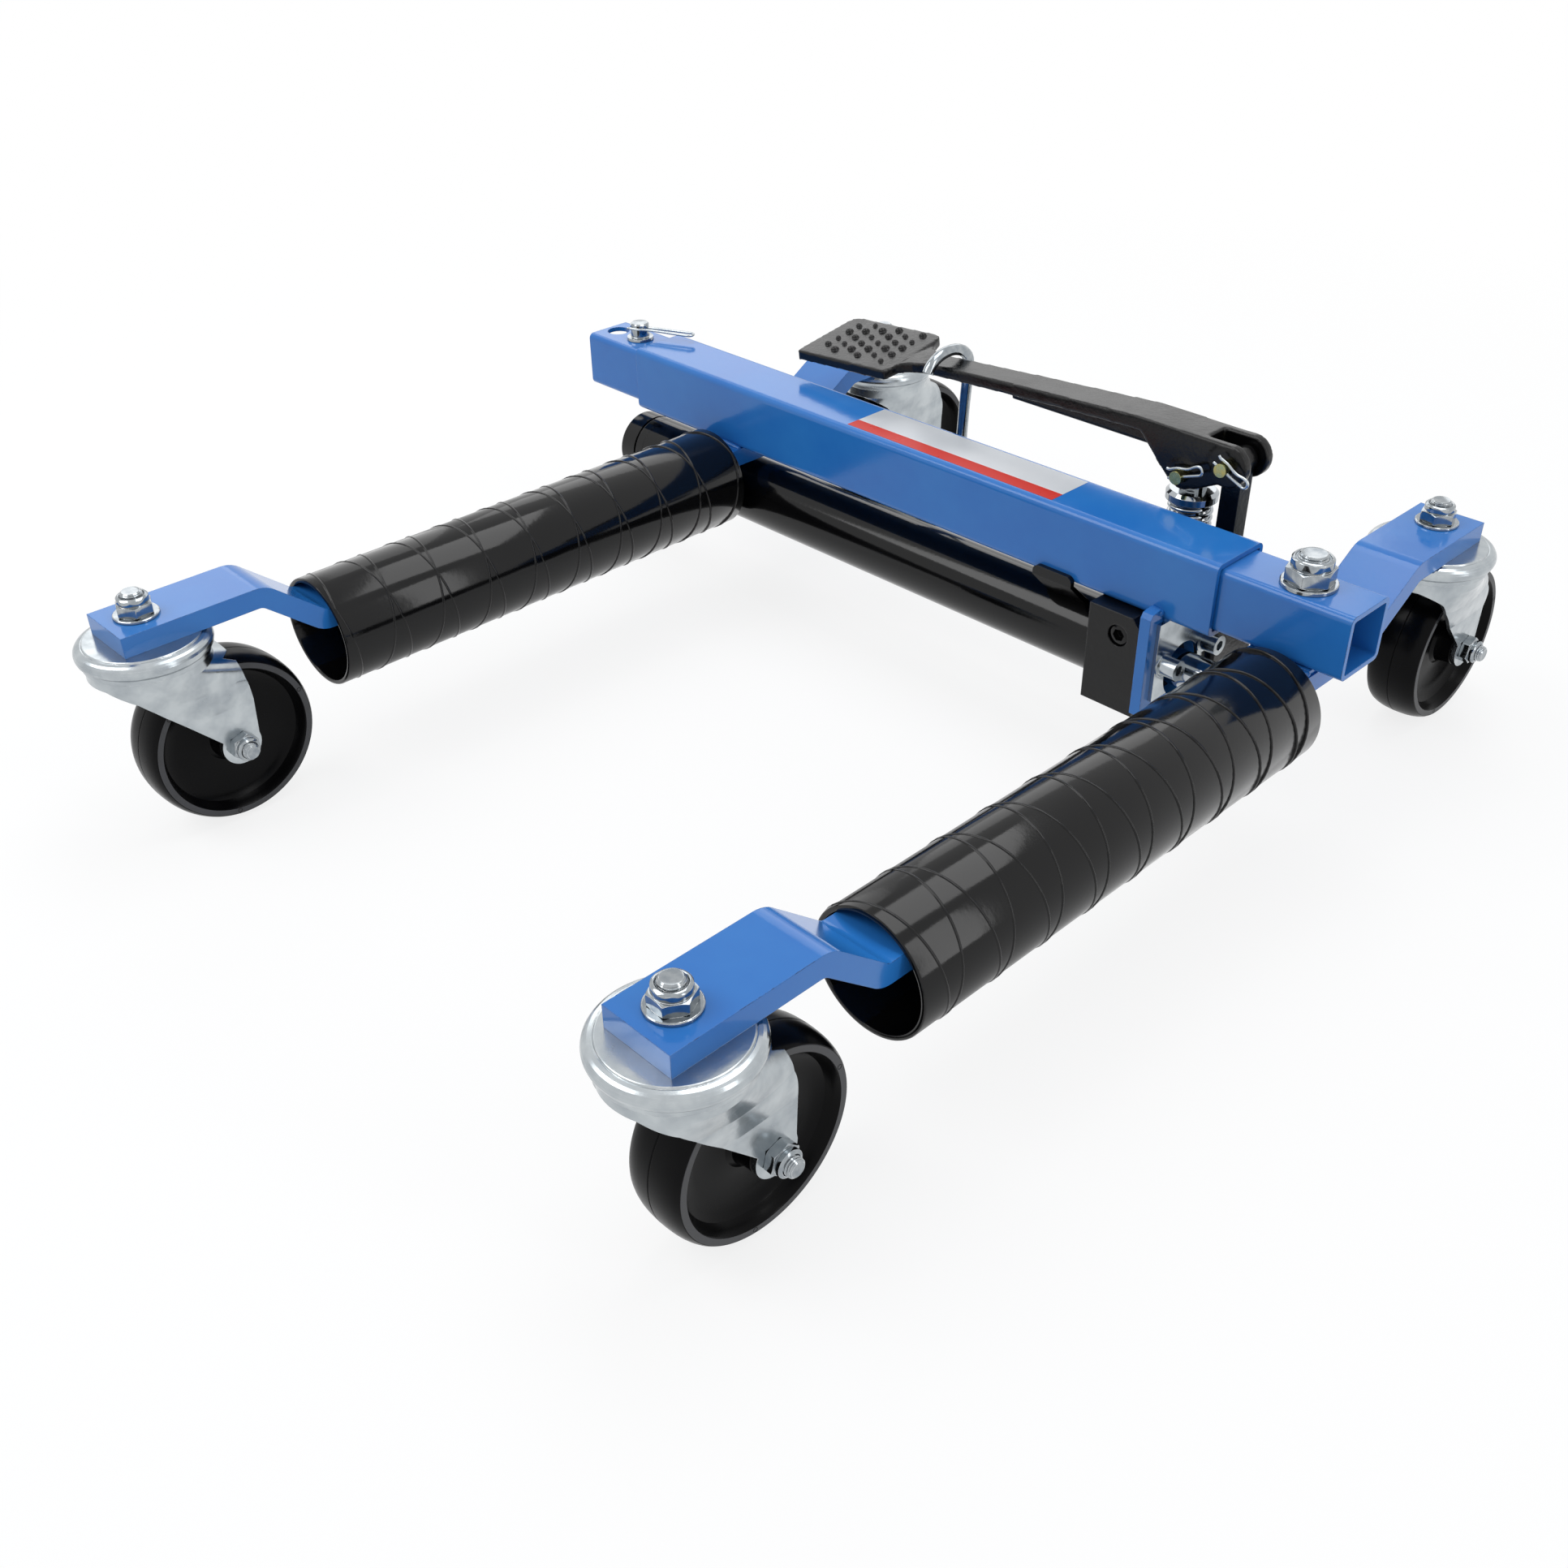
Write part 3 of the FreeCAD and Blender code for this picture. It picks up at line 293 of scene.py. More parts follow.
# Turned and plated steel that shows the room.
CHROME = Finish("bright chrome plate", "bright_chrome", "B6BABD", "A3A8AD", metallic=1.0, roughness=(0.05, 0.12),
                grain_mm=1.2, depth_mm=0.008, edge_mm=0.25)
# Zinc plate on pressed steel: pale, a little milky, with a drift of blue.
ZINC = Finish("bright zinc plate", "zinc_plate", "BCC2C5", "A2A9AE", metallic=1.0, roughness=(0.13, 0.28),
              grain_mm=1.1, depth_mm=0.02, cloud_mm=16.0, edge_mm=0.4, worn="E4E6E8", wear=0.5)
# Zinc with a yellow passivate, straw to green.
YELLOW_ZINC = Finish("yellow zinc passivate", "yellow_zinc", "B8A865", "9DA883", metallic=1.0,
                     roughness=(0.2, 0.32), grain_mm=0.8, depth_mm=0.01, cloud_mm=4.0, edge_mm=0.3)
# Moulded black nylon, half matt from the mould.
NYLON = Finish("moulded black nylon", "black_nylon", "070708", "0B0B0C", roughness=(0.2, 0.28), specular=0.08,
               grain_mm=0.7, depth_mm=0.012, cloud_mm=25.0, edge_mm=0.3)
# The wheel's rim is turned after moulding, so it is matt. Its paler colour is painted light: it stands in for the
# light the rim catches while the dish lies in shade.
TURNED_NYLON_PAINTED_LIT = Finish("turned black nylon with painted light", "black_nylon", "2B2C2F", "333438", roughness=(0.4, 0.5), specular=0.5,
                      grain_mm=0.7, depth_mm=0.01, cloud_mm=12.0, edge_mm=0.15)
# Small plated fasteners are barrel plated and brighter than sheet.
BRIGHT_ZINC = Finish("barrel plated zinc", "zinc_plate", "A6ABAE", "8A9197", metallic=1.0, roughness=(0.06, 0.16),
                     grain_mm=0.7, depth_mm=0.012, cloud_mm=5.0, edge_mm=0.25, worn="F0F1F2", wear=0.6)
# The lock nuts' insert is natural nylon, milky and matt.
NYLON_INSERT = Finish("natural nylon insert", "zinc_plate", "AEB6BC", "9AA3AB", roughness=(0.4, 0.5), grain_mm=0.5,
                      depth_mm=0.01, edge_mm=0.1)
# Blank vinyl film: a red strip and brushed silver, both a little glossy.
RED_FILM = Finish("red vinyl film", "blue_paint", "C22A20", "BE2D24", roughness=(0.25, 0.32), specular=0.15,
                  grain_mm=6.0, depth_mm=0.01, cloud_mm=40.0, edge_mm=0.05)
SILVER_FILM = Finish("silver vinyl film", "zinc_plate", "C9CDD2", "D2D5D9", metallic=0.35, roughness=(0.3, 0.38),
                     specular=0.2, grain_mm=6.0, depth_mm=0.01, cloud_mm=50.0, edge_mm=0.05)

FINISHES = {finish.slot: finish for finish in (
    BLUE_PAINT, BLACK_ENAMEL, BLACK_CASTING, CHROME, ZINC, YELLOW_ZINC, NYLON)}


# The bench: modelling steps that the pieces share


def fresh() -> None:
    """Leave edit mode and deselect everything."""
    if bpy.context.mode != "OBJECT":
        bpy.ops.object.mode_set(mode="OBJECT")
    bpy.ops.object.select_all(action="DESELECT")


def pick(piece: Piece) -> Piece:
    """Make one object the selected and active one.

    Args:
        piece: The object.

    Returns:
        The same object.
    """
    fresh()
    piece.select_set(True)
    bpy.context.view_layer.objects.active = piece
    return piece


def modify(piece: Piece, kind: str, **settings: Any) -> Piece:
    """Add a modifier to a piece and apply it.

    Args:
        piece: The mesh object.
        kind: The modifier's type, such as BEVEL.
        **settings: The modifier's properties.

    Returns:
        The same object.
    """
    pick(piece)
    modifier = piece.modifiers.new(kind.title(), kind)
    for name, value in settings.items():
        setattr(modifier, name, value)
    bpy.ops.object.modifier_apply(modifier=modifier.name)
    return piece


def choose(piece: Piece, test: Callable[[Vector], bool]) -> None:
    """Select, in edit mode, the vertices that pass a test.

    Args:
        piece: The object in edit mode.
        test: Takes a vertex's place and tells whether it is chosen.
    """
    bpy.ops.mesh.select_mode(type="VERT")
    bpy.ops.mesh.select_all(action="DESELECT")
    mesh = bmesh.from_edit_mesh(piece.data)
    for vertex in mesh.verts:
        vertex.select_set(test(vertex.co))
    bmesh.update_edit_mesh(piece.data)


def settle(piece: Piece, place: Matrix | None = None) -> Piece:
    """Move a piece to its place and leave that place in its mesh.

    Args:
        piece: The object.
        place: A further move, or None to keep it where it is.

    Returns:
        The same object, at the origin.
    """
    pick(piece)
    if place is not None:
        piece.matrix_world = place @ piece.matrix_world
    bpy.ops.object.transform_apply(location=True, rotation=True, scale=True)
    return piece


def drawn(points: Sequence[Point], closed: bool = False) -> Piece:
    """Draw a line by extruding one vertex from point to point, and stay in edit mode.

    Args:
        points: The line's points in millimetres.
        closed: True joins the last point to the first.

    Returns:
        The new object, with all of the line selected.
    """
    spots = [Vector(point) * MM for point in points]
    fresh()
    bpy.ops.mesh.primitive_plane_add(size=MM, location=spots[0])
    piece = bpy.context.active_object
    bpy.ops.object.transform_apply(location=True)
    bpy.ops.object.mode_set(mode="EDIT")
    bpy.ops.mesh.merge(type="CENTER")
    for here, there in zip(spots, spots[1:]):
        bpy.ops.mesh.extrude_vertices_move(TRANSFORM_OT_translate={"value": there - here})
    if closed:
        ends = (spots[0], spots[-1])
        choose(piece, lambda spot: min((spot - end).length for end in ends) < SAME)
        bpy.ops.mesh.edge_face_add()
    bpy.ops.mesh.select_all(action="SELECT")
    return piece


def strung(path: Sequence[Point], radius: float) -> Piece:
    """Bend a round bar along a line.

    Args:
        path: The line's points in millimetres.
        radius: The bar's radius.

    Returns:
        The closed bar.
    """
    line = drawn(path)
    bpy.ops.object.mode_set(mode="OBJECT")
    pick(line)
    bpy.ops.object.convert(target="CURVE")
    line = bpy.context.active_object
    line.data.bevel_depth = radius * MM
    line.data.bevel_resolution = 5
    line.data.use_fill_caps = True
    bpy.ops.object.convert(target="MESH")
    bpy.ops.object.mode_set(mode="EDIT")
    bpy.ops.mesh.select_all(action="SELECT")
    return clean(bpy.context.active_object)


def clean(piece: Piece) -> Piece:
    """Merge doubles, face everything outwards and leave edit mode.

    Args:
        piece: The object in edit mode.

    Returns:
        The same object.
    """
    bpy.ops.mesh.select_all(action="SELECT")
    bpy.ops.mesh.remove_doubles(threshold=SAME)
    bpy.ops.mesh.normals_make_consistent(inside=False)
    bpy.ops.object.mode_set(mode="OBJECT")
    return piece


def lathed(profile: Sequence[Pair], closed: bool = True, steps: int = 64) -> Piece:
    """Turn a profile about the Z axis, as on a lathe.

    Args:
        profile: Radius and height of each point, in millimetres.
        closed: True for a ring whose profile closes on itself; False for one that starts and ends on the axis.
        steps: How many steps make the round.

    Returns:
        The turned piece, about the Z axis at the origin.
    """
    piece = drawn([(radius, 0.0, height) for radius, height in profile], closed)
    bpy.ops.mesh.spin(steps=steps, angle=math.tau, center=(0, 0, 0), axis=(0, 0, 1), use_auto_merge=True)
    return clean(piece)


def prism(outline: Sequence[Point], depth: Point) -> Piece:
    """Fill an outline and extrude it.

    Args:
        outline: The corners in millimetres, all in one plane.
        depth: The way and length of the extrusion, in millimetres.

    Returns:
        The closed prism.
    """
    piece = drawn(outline)
    bpy.ops.mesh.edge_face_add()
    bpy.ops.mesh.extrude_region_move(TRANSFORM_OT_translate={"value": Vector(depth) * MM})
    return clean(piece)


def slab(low: Point, high: Point) -> Piece:
    """Make an upright box from its lowest and highest corner, in millimetres."""
    (left, front, foot), (right, back, top) = low, high
    outline = [(left, front, foot), (right, front, foot), (right, back, foot), (left, back, foot)]
    return prism(outline, (0, 0, top - foot))


def rod(radius: float, low: float, high: float, steps: int) -> Piece:
    """Turn a plain rod about the Z axis between two heights, in millimetres."""
    return lathed([(0, low), (radius, low), (radius, high), (0, high)], closed=False, steps=steps)


def carve(piece: Piece, tool: Piece, operation: str = "DIFFERENCE") -> Piece:
    """Cut a piece with another, or keep what they share, and throw the tool away.

    Args:
        piece: The piece to keep.
        tool: The cutting solid.
        operation: DIFFERENCE, INTERSECT or UNION.

    Returns:
        The carved piece.
    """
    modify(piece, "BOOLEAN", object=tool, operation=operation, solver="EXACT")
    bpy.data.objects.remove(tool)
    return piece


def joined(pieces: Sequence[Piece]) -> Piece:
    """Join several pieces into the first.

    Args:
        pieces: The objects.

    Returns:
        The first object, now with all their meshes.
    """
    pick(pieces[0])
    for piece in pieces:
        piece.select_set(True)
    bpy.ops.object.join()
    return pieces[0]


def coiled(radius: float, wire: float, pitch: float, turns: int, sides: int, steps: int, start: float = 0.0,
           hand: Hand = Hand.RIGHT) -> Piece:
    """Wind a wire about the Y axis and close its ends.

    Args:
        radius: The radius of the coil's middle line, in millimetres.
        wire: The wire's radius.
        pitch: How far one turn climbs.
        turns: How many turns it has.
        sides: How many sides make the wire round.
        steps: How many steps make one turn.
        start: Where along Y the first turn starts.
        hand: The way it winds.

    Returns:
        The closed coil.
    """
    fresh()
    bpy.ops.mesh.primitive_circle_add(vertices=sides, radius=wire * MM, location=(radius * MM, start * MM, 0))
    coil = settle(bpy.context.active_object)
    modify(coil, "SCREW", axis="Y", angle=math.tau, screw_offset=pitch * MM, iterations=turns, steps=steps,
           render_steps=steps, use_normal_calculate=True)
    pick(coil)
    bpy.ops.object.mode_set(mode="EDIT")
    bpy.ops.mesh.select_all(action="SELECT")
    bpy.ops.mesh.fill_holes(sides=sides)
    if hand is Hand.LEFT:
        bpy.ops.transform.mirror(constraint_axis=(False, False, True))
    return clean(coil)


def hand_over(piece: Piece, name: str, finish: Finish, body: str, nodes: Sequence[str] = (),
              angle: float = 35.0) -> Piece:
    """Name, smooth and dress a finished piece, and let it ride on its body.

    Args:
        piece: The finished piece, in its place.
        name: Its name.
        finish: Its finish.
        body: The CAD body that it moves with.
        nodes: The CAD nodes that it stands for.
        angle: Edges sharper than this, in degrees, stay sharp.

    Returns:
        The same object.
    """
    settle(piece)
    piece.name = name
    bpy.ops.object.shade_smooth_by_angle(angle=math.radians(angle))
    piece.data.materials.clear()
    piece.data.materials.append(finish.build())
    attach(piece, body)
    if nodes:
        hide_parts(*nodes)
    LOG.info("%s: %d faces on %s", name, len(piece.data.polygons), body)
    return piece


def middle(node: str) -> Vector:
    """Return the middle of a CAD node's box, in millimetres."""
    low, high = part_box(node)
    return (low + high) / 2 / MM


def lowest(node: str) -> Vector:
    """Return the lowest corner of a CAD node's box, in millimetres."""
    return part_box(node)[0] / MM


def highest(node: str) -> Vector:
    """Return the highest corner of a CAD node's box, in millimetres."""
    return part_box(node)[1] / MM


def standing(spot: Sequence[float], axis: str = "Z", turn: float = 0.0) -> Matrix:
    """Give the place of a piece that was made on the Z axis.

    Args:
        spot: Where its foot goes, in millimetres.
        axis: The axis that its own Z points along: X, -X, Y or Z.
        turn: How far it is turned about its own Z, in degrees.

    Returns:
        The matrix.
    """
    lay = {"Z": Matrix(), "X": Matrix.Rotation(math.pi / 2, 4, "Y"), "-X": Matrix.Rotation(-math.pi / 2, 4, "Y"),
           "Y": Matrix.Rotation(-math.pi / 2, 4, "X")}[axis]
    return Matrix.Translation(Vector(spot) * MM) @ lay @ Matrix.Rotation(math.radians(turn), 4, "Z")


# The pieces


@dataclass
class LockNut:
    """The stack on every bolt here: washer, hexagon, round collar with its insert, and the bolt's end.

    Attributes:
        bolt: The bolt's radius in millimetres.
        flats: The hexagon's radius to its corners.
        washer: The washer's radius, or 0 for none.
        stand: How far the bolt's end stands out of the collar.
        pitch: The thread's pitch.
        play: The washer's room round the bolt.
        washer_share: The washer's thickness as a share of the bolt's radius.
        flats_share: The hexagon's height as a share of the bolt's radius.
        collar_share: The collar's height as a share of the bolt's radius.
        collar_width: The collar's radius as a share of the hexagon's.
        head_share: The height of the bolt's head as a share of its radius.
        chamfer: The radius at which the hexagon's corners start to be turned off, as a share of its own.
    """

    bolt: float
    flats: float
    washer: float
    stand: float
    pitch: float = 1.75
    play: float = 0.3
    washer_share: float = 0.3
    flats_share: float = 1.05
    collar_share: float = 0.72
    collar_width: float = 0.8
    head_share: float = 1.25
    chamfer: float = 0.87

    def build(self) -> dict[str, Piece]:
        """Make the parts on the Z axis, with the washer's foot at the origin.

        Returns:
            The plated metal and the nylon insert.
        """
        foot = self.washer_share * self.bolt if self.washer else 0.0
        parts = []
        if self.washer:
            hole = self.bolt + self.play
            rim = self.washer
            parts.append(lathed([(hole, 0), (rim - 0.3, 0), (rim, 0.4), (rim - 0.1, foot - 0.4), (rim - 0.6, foot),
                                 (hole, foot)]))
        shoulder = foot + self.flats_share * self.bolt
        parts.append(self.hexagon(foot, shoulder))
        rim = self.collar_width * self.flats
        top = shoulder + self.collar_share * self.bolt
        parts.append(lathed([(self.bolt, shoulder - 0.5), (rim, shoulder - 0.5), (rim, shoulder + 0.4),
                             (rim + 0.25, shoulder + 0.9), (rim + 0.1, top - 1.0), (rim - 0.7, top - 0.2),
                             (rim - 1.4, top), (rim - 1.8, top - 0.3), (rim - 1.9, top - 0.9),
                             (self.bolt, top - 0.9)]))
        parts.append(self.bolt_end(top - 2, top + self.stand))
        insert = lathed([(self.bolt + 0.05, top - 1.2), (rim - 1.85, top - 1.2), (rim - 1.95, top - 0.7),
                         (self.bolt + 0.4, top - 0.55), (self.bolt + 0.05, top - 0.8)])
        return {"metal": joined(parts), "insert": insert}

    def fasten(self, node: str, bolt: str, spot: Vector, turn: float, body: str) -> None:
        """Put an upright nut and its bolt in place of their CAD nodes.

        Args:
            node: The nut's CAD node, whose foot is the washer's.
            bolt: The bolt's CAD node.
            spot: A point on the bolt's line, in millimetres.
            turn: How far the hexagon is turned, in degrees.
            body: The body that both ride on.
        """
        made = self.build()
        level = lowest(node).z
        stack = joined([made["metal"], self.bolt_below(lowest(bolt).z - level)])
        foot = (spot.x, spot.y, level)
        hand_over(settle(stack, standing(foot, "Z", turn)), node + "_stack", BRIGHT_ZINC, body, (node, bolt))
        hand_over(settle(made["insert"], standing(foot)), node + "_insert", NYLON_INSERT, body)

    def bolt_below(self, end: float) -> Piece:
        """Make the bolt under the nut: its shaft and the hexagon head at its far end.

        Args:
            end: The height of the head's outer face.

        Returns:
            The shaft and head, upright about the Z axis.
        """
        side, top = self.bolt - 0.1, 2 * self.bolt
        return joined([rod(side, end + 1, top, 32), self.hexagon(end, end + self.head_share * self.bolt)])

    def hexagon(self, low: float, high: float) -> Piece:
        """Make the hexagon with its corners turned off to a cone at both ends.

        Args:
            low: The height of its lower face.
            high: The height of its upper face.

        Returns:
            The bored hexagon.
        """
        fresh()
        bpy.ops.mesh.primitive_cylinder_add(vertices=6, radius=self.flats * MM, depth=(high - low) * MM,
                                            location=(0, 0, (low + high) / 2 * MM))
        body = settle(bpy.context.active_object)
        modify(body, "BEVEL", width=0.25 * MM, segments=2, limit_method="ANGLE", angle_limit=math.radians(50))
        inner = self.chamfer * self.flats
        cone = (self.flats - inner) * math.tan(math.radians(30))
        past, over = self.flats + 0.2, 0.01
        tool = lathed([(0, low - over), (inner, low - over), (past, low + cone), (past, high - cone),
                       (inner, high + over), (0, high + over)], closed=False)
        return carve(body, tool, "INTERSECT")

    def bolt_end(self, low: float, high: float) -> Piece:
        """Turn the bolt's threaded end, ridge by ridge, with a chamfer and a slightly dished face.

        Args:
            low: Where it starts, hidden in the nut.
            high: The height of its end.

        Returns:
            The closed end.
        """
        deep = 0.5 * self.pitch
        profile: list[Pair] = [(0, low)]
        level = low
        while level < high - 1.1 * self.pitch:
            profile += [(self.bolt - deep, level), (self.bolt - 0.1, level + 0.4 * self.pitch),
                        (self.bolt - 0.1, level + 0.6 * self.pitch)]
            level += self.pitch
        profile += [(self.bolt - deep, level), (self.bolt - 0.3, high - 0.8), (self.bolt - 1.2, high),
                    (self.bolt - 1.9, high - 0.1), (0, high - 0.15)]
        return lathed(profile, closed=False, steps=40)


@dataclass
class Roller:
    """A loose steel tube with two fine beads that wind round it in opposite hands.

    Attributes:
        node: The CAD node that it replaces.
        body: The body that it rides on.
        crossing: The angle round the roller at which the beads cross, in degrees.
        turns: How many times each bead goes round.
        wall: The tube's wall in millimetres.
        bead: The bead's radius.
        sunk: How far the bead's middle lies under the surface.
        inset: How far the beads stay from the tube's ends.
    """

    node: str
    body: str
    crossing: float
    turns: int = 9
    wall: float = 3.0
    bead: float = 0.95
    sunk: float = 0.35
    inset: float = 2.0

    def build(self) -> None:
        """Make the tube and its beads."""
        low, high = lowest(self.node), highest(self.node)
        self.radius = (high.x - low.x) / 2
        self.length = high.y - low.y
        self.start = Vector(((low.x + high.x) / 2, low.y, (low.z + high.z) / 2))
        tube = self.tube()
        hand_over(tube, self.node + "_tube", BLACK_ENAMEL, self.body, (self.node,), angle=30)
        beads = joined([self.helix(hand) for hand in Hand])
        hand_over(beads, self.node + "_beads", BLACK_ENAMEL, self.body, angle=60)

    def tube(self) -> Piece:
        """Turn the tube with softly broken edges.

        Returns:
            The tube in its place.
        """
        outer, inner, end = self.radius, self.radius - self.wall, self.length
        rim = [(inner, 1.0), (inner + 0.35, 0.3), (inner + 1.1, 0), (outer - 1.1, 0), (outer - 0.35, 0.3),
               (outer, 1.0)]
        profile = rim + [(radius, end - level) for radius, level in reversed(rim)]
        return settle(lathed(profile, steps=128), standing(self.start, "Y"))

    def helix(self, hand: Hand) -> Piece:
        """Wind one bead.

        Args:
            hand: The way it winds.

        Returns:
            The bead in its place.
        """
        pitch = (self.length - 2 * self.inset) / self.turns
        wire = coiled(self.radius - self.sunk, self.bead, pitch, self.turns, sides=8, steps=48, start=self.inset,
                      hand=hand)
        turn = Matrix.Rotation(-math.radians(self.crossing), 4, "Y")
        return settle(wire, Matrix.Translation(self.start * MM) @ turn)


# The cap's section, as radius and height from its crown: flat crown, fine groove, shoulder, rim rolled under.
CAP_SECTION = [(6.1, 0), (31.2, 0), (31.6, -0.2), (31.9, -0.9), (32.4, -0.8), (34.2, -1.3), (35.5, -2.1),
               (36.5, -3.4), (37.0, -5.0), (37.0, -6.4), (36.5, -8.0), (35.5, -9.2), (34.6, -9.9), (34.4, -12.5),
               (33.4, -12.6), (33.3, -9.2), (34.0, -7.4), (34.2, -5.6), (33.0, -3.8), (31.0, -3.0), (6.1, -2.7)]
# The wheel's section between hub and tread, as radius and half width: dish, flat rim, rounded shoulder.
WHEEL_SECTION = [(12.3, 12.0), (13.2, 8.6), (15.5, 7.0), (21.0, 6.3), (32.0, 6.2), (37.5, 7.0), (41.0, 9.2),
                 (42.9, 12.2), (43.9, 15.2), (44.4, 15.8), (47.7, 15.8), (48.2, 15.6), (49.2, 14.2), (50.1, 11.9),
                 (50.8, 9.2), (51.2, 6.4)]
# The ring that is turned on each rim. It is painted paler to stand in for the light it catches.
RIM_SECTION = [(44.3, 15.5), (44.5, 15.9), (47.7, 15.9), (48.0, 15.5)]
# How far each king nut happened to be turned when it was tight, in degrees.
KING_TURNS = {Corner.FRONT_LEFT: 8, Corner.FRONT_RIGHT: 27, Corner.REAR_LEFT: 41, Corner.REAR_RIGHT: 15}


@dataclass
class Caster:
    """One swivel caster: rolled cap, dished nylon wheel, and its bolts. Its fork stays the CAD one.

    Attributes:
        corner: Which of the four it is.
        leg: How far the fork's legs stand from the wheel's middle, in millimetres.
        mark_ring: The radius on which the ejectors left their marks.
        mark_face: How far the marked rim stands from the wheel's middle.
        mark_turns: Where round the wheel the marks are, in degrees.
    """

    corner: Corner
    leg: float = 22.0
    mark_ring: float = 46.0
    mark_face: float = 15.8
    mark_turns: tuple[float, ...] = (20, 140, 260)

    def build(self) -> None:
        """Make every piece of the caster in place of its CAD nodes."""
        name = self.corner.value
        self.cap_node, self.wheel_node = "caster_cap_" + name, "caster_wheel_" + name
        self.axle_node = "caster_axle_" + name
        self.fork_body, self.wheel_body = "fork_" + name, "wheel_" + name
        cap = middle(self.cap_node)
        self.king = Vector((cap.x, cap.y, highest(self.cap_node).z))
        self.hub = middle(self.wheel_node)
        self.cap()
        self.wheel()
        self.axle()
        nut = LockNut(bolt=6.0, flats=10.5, washer=12.5, stand=2.2)
        nut.fasten("king_nut_" + name, "king_bolt_" + name, self.king, KING_TURNS[self.corner], self.corner.carrier)

    def cap(self) -> None:
        """Turn the cap."""
        cap = settle(lathed(CAP_SECTION, steps=96), standing(self.king))
        hand_over(cap, self.cap_node + "_pressing", ZINC, self.corner.carrier, (self.cap_node,), angle=16)

    def wheel(self) -> None:
        """Turn the wheel with the parting line in its tread, and its two rims, whose paler colour is painted light.
        """
        hub = highest(self.wheel_node).x - self.hub.x
        outer = (highest(self.wheel_node).z - lowest(self.wheel_node).z) / 2
        side = [(5.1, hub), (11.4, hub), (12.0, hub - 0.6), *WHEEL_SECTION, (outer - 0.1, 3.6), (outer, 1.3),
                (outer, 0.4), (outer - 0.45, 0.0)]
        profile = side + [(radius, -across) for radius, across in reversed(side[:-1])]
        wheel = settle(lathed(profile, steps=112), standing(self.hub, "X"))
        marks = [self.mark(face, turn) for face in (1, -1) for turn in self.mark_turns]
        # The rims take a paler copy of the wheel's nylon: painted light, lighter than the dish in shade.
        painted_lit_rings = [settle(lathed(RIM_SECTION, steps=112), standing(self.hub, axis)) for axis in ("X", "-X")]
        hand_over(joined(painted_lit_rings), self.wheel_node + "_rims_painted_light", TURNED_NYLON_PAINTED_LIT, self.wheel_body, angle=24)
        wheel = joined([wheel] + marks)
        hand_over(wheel, self.wheel_node + "_moulding", NYLON, self.wheel_body, (self.wheel_node,), angle=24)

    def mark(self, face: int, turn: float) -> Piece:
        """Make the ring that one ejector pin left on the rim.

        Args:
            face: 1 for the wheel's right face, -1 for its left one.
            turn: Where round the wheel it is, in degrees.

        Returns:
            The ring.
        """
        fresh()
        bpy.ops.mesh.primitive_torus_add(major_radius=1.2 * MM, minor_radius=0.22 * MM, major_segments=14,
                                         minor_segments=5)
        ring = settle(bpy.context.active_object)
        angle = math.radians(turn)
        reach = Vector((face * self.mark_face, self.mark_ring * math.cos(angle), self.mark_ring * math.sin(angle)))
        return settle(ring, standing(self.hub + reach, "X"))

    def axle(self) -> None:
        """Make the axle bolt: hexagon head on one side, lock nut on the other."""
        nut = LockNut(bolt=5.0, flats=8.6, washer=0.0, stand=3.6, pitch=1.5)
        made = nut.build()
        side = Vector((self.leg, 0, 0))
        metal = settle(made["metal"], standing(self.hub + side, "X", 17))
        insert = settle(made["insert"], standing(self.hub + side, "X"))
        head = settle(nut.hexagon(0.0, 5.6), standing(self.hub - side, "-X", 40))
        shaft = rod(nut.bolt - 0.05, 0, 2 * self.leg + 2, 32)
        shaft = settle(shaft, standing(self.hub - Vector((self.leg + 1, 0, 0)), "X"))
        hand_over(joined([metal, head, shaft]), self.axle_node + "_bolt", BRIGHT_ZINC, self.fork_body,
                  (self.axle_node,))
        hand_over(insert, self.axle_node + "_insert", NYLON_INSERT, self.fork_body)


# Half of the lever seen from above, as place along it and half width: pad, neck, arm, head.
LEVER_PLAN = [(-139, 23.5), (-138.2, 27.4), (-135.4, 30.4), (-131, 31.5), (-64, 31.5), (-60, 30.6), (-57.5, 28),
              (-56.4, 24.5), (-54.6, 19.5), (-51, 15), (-46, 12), (-39, 10.9), (-8, 10.9), (60, 12.4), (120, 14),
              (214, 14)]
# The pad and arm seen from the front, as place along them and height.
LEVER_SIDE = [(-150, 175.2), (-57, 182.4), (-27, 185.2), (40, 190.2), (130, 196), (181, 195.5), (192, 195.5),
              (192, 184), (160, 183), (138, 186.5), (131, 188), (75, 184.8), (0, 179.8), (-27, 177.8),
              (-57, 175.6), (-150, 168.4)]
# A cheek of the lever's fork seen from the front.
LEVER_CHEEK = [(131, 190), (181, 195), (196, 195.4), (203, 190), (204, 180), (190, 171), (174, 162.8), (158, 163.4),
               (148, 173), (136, 186)]


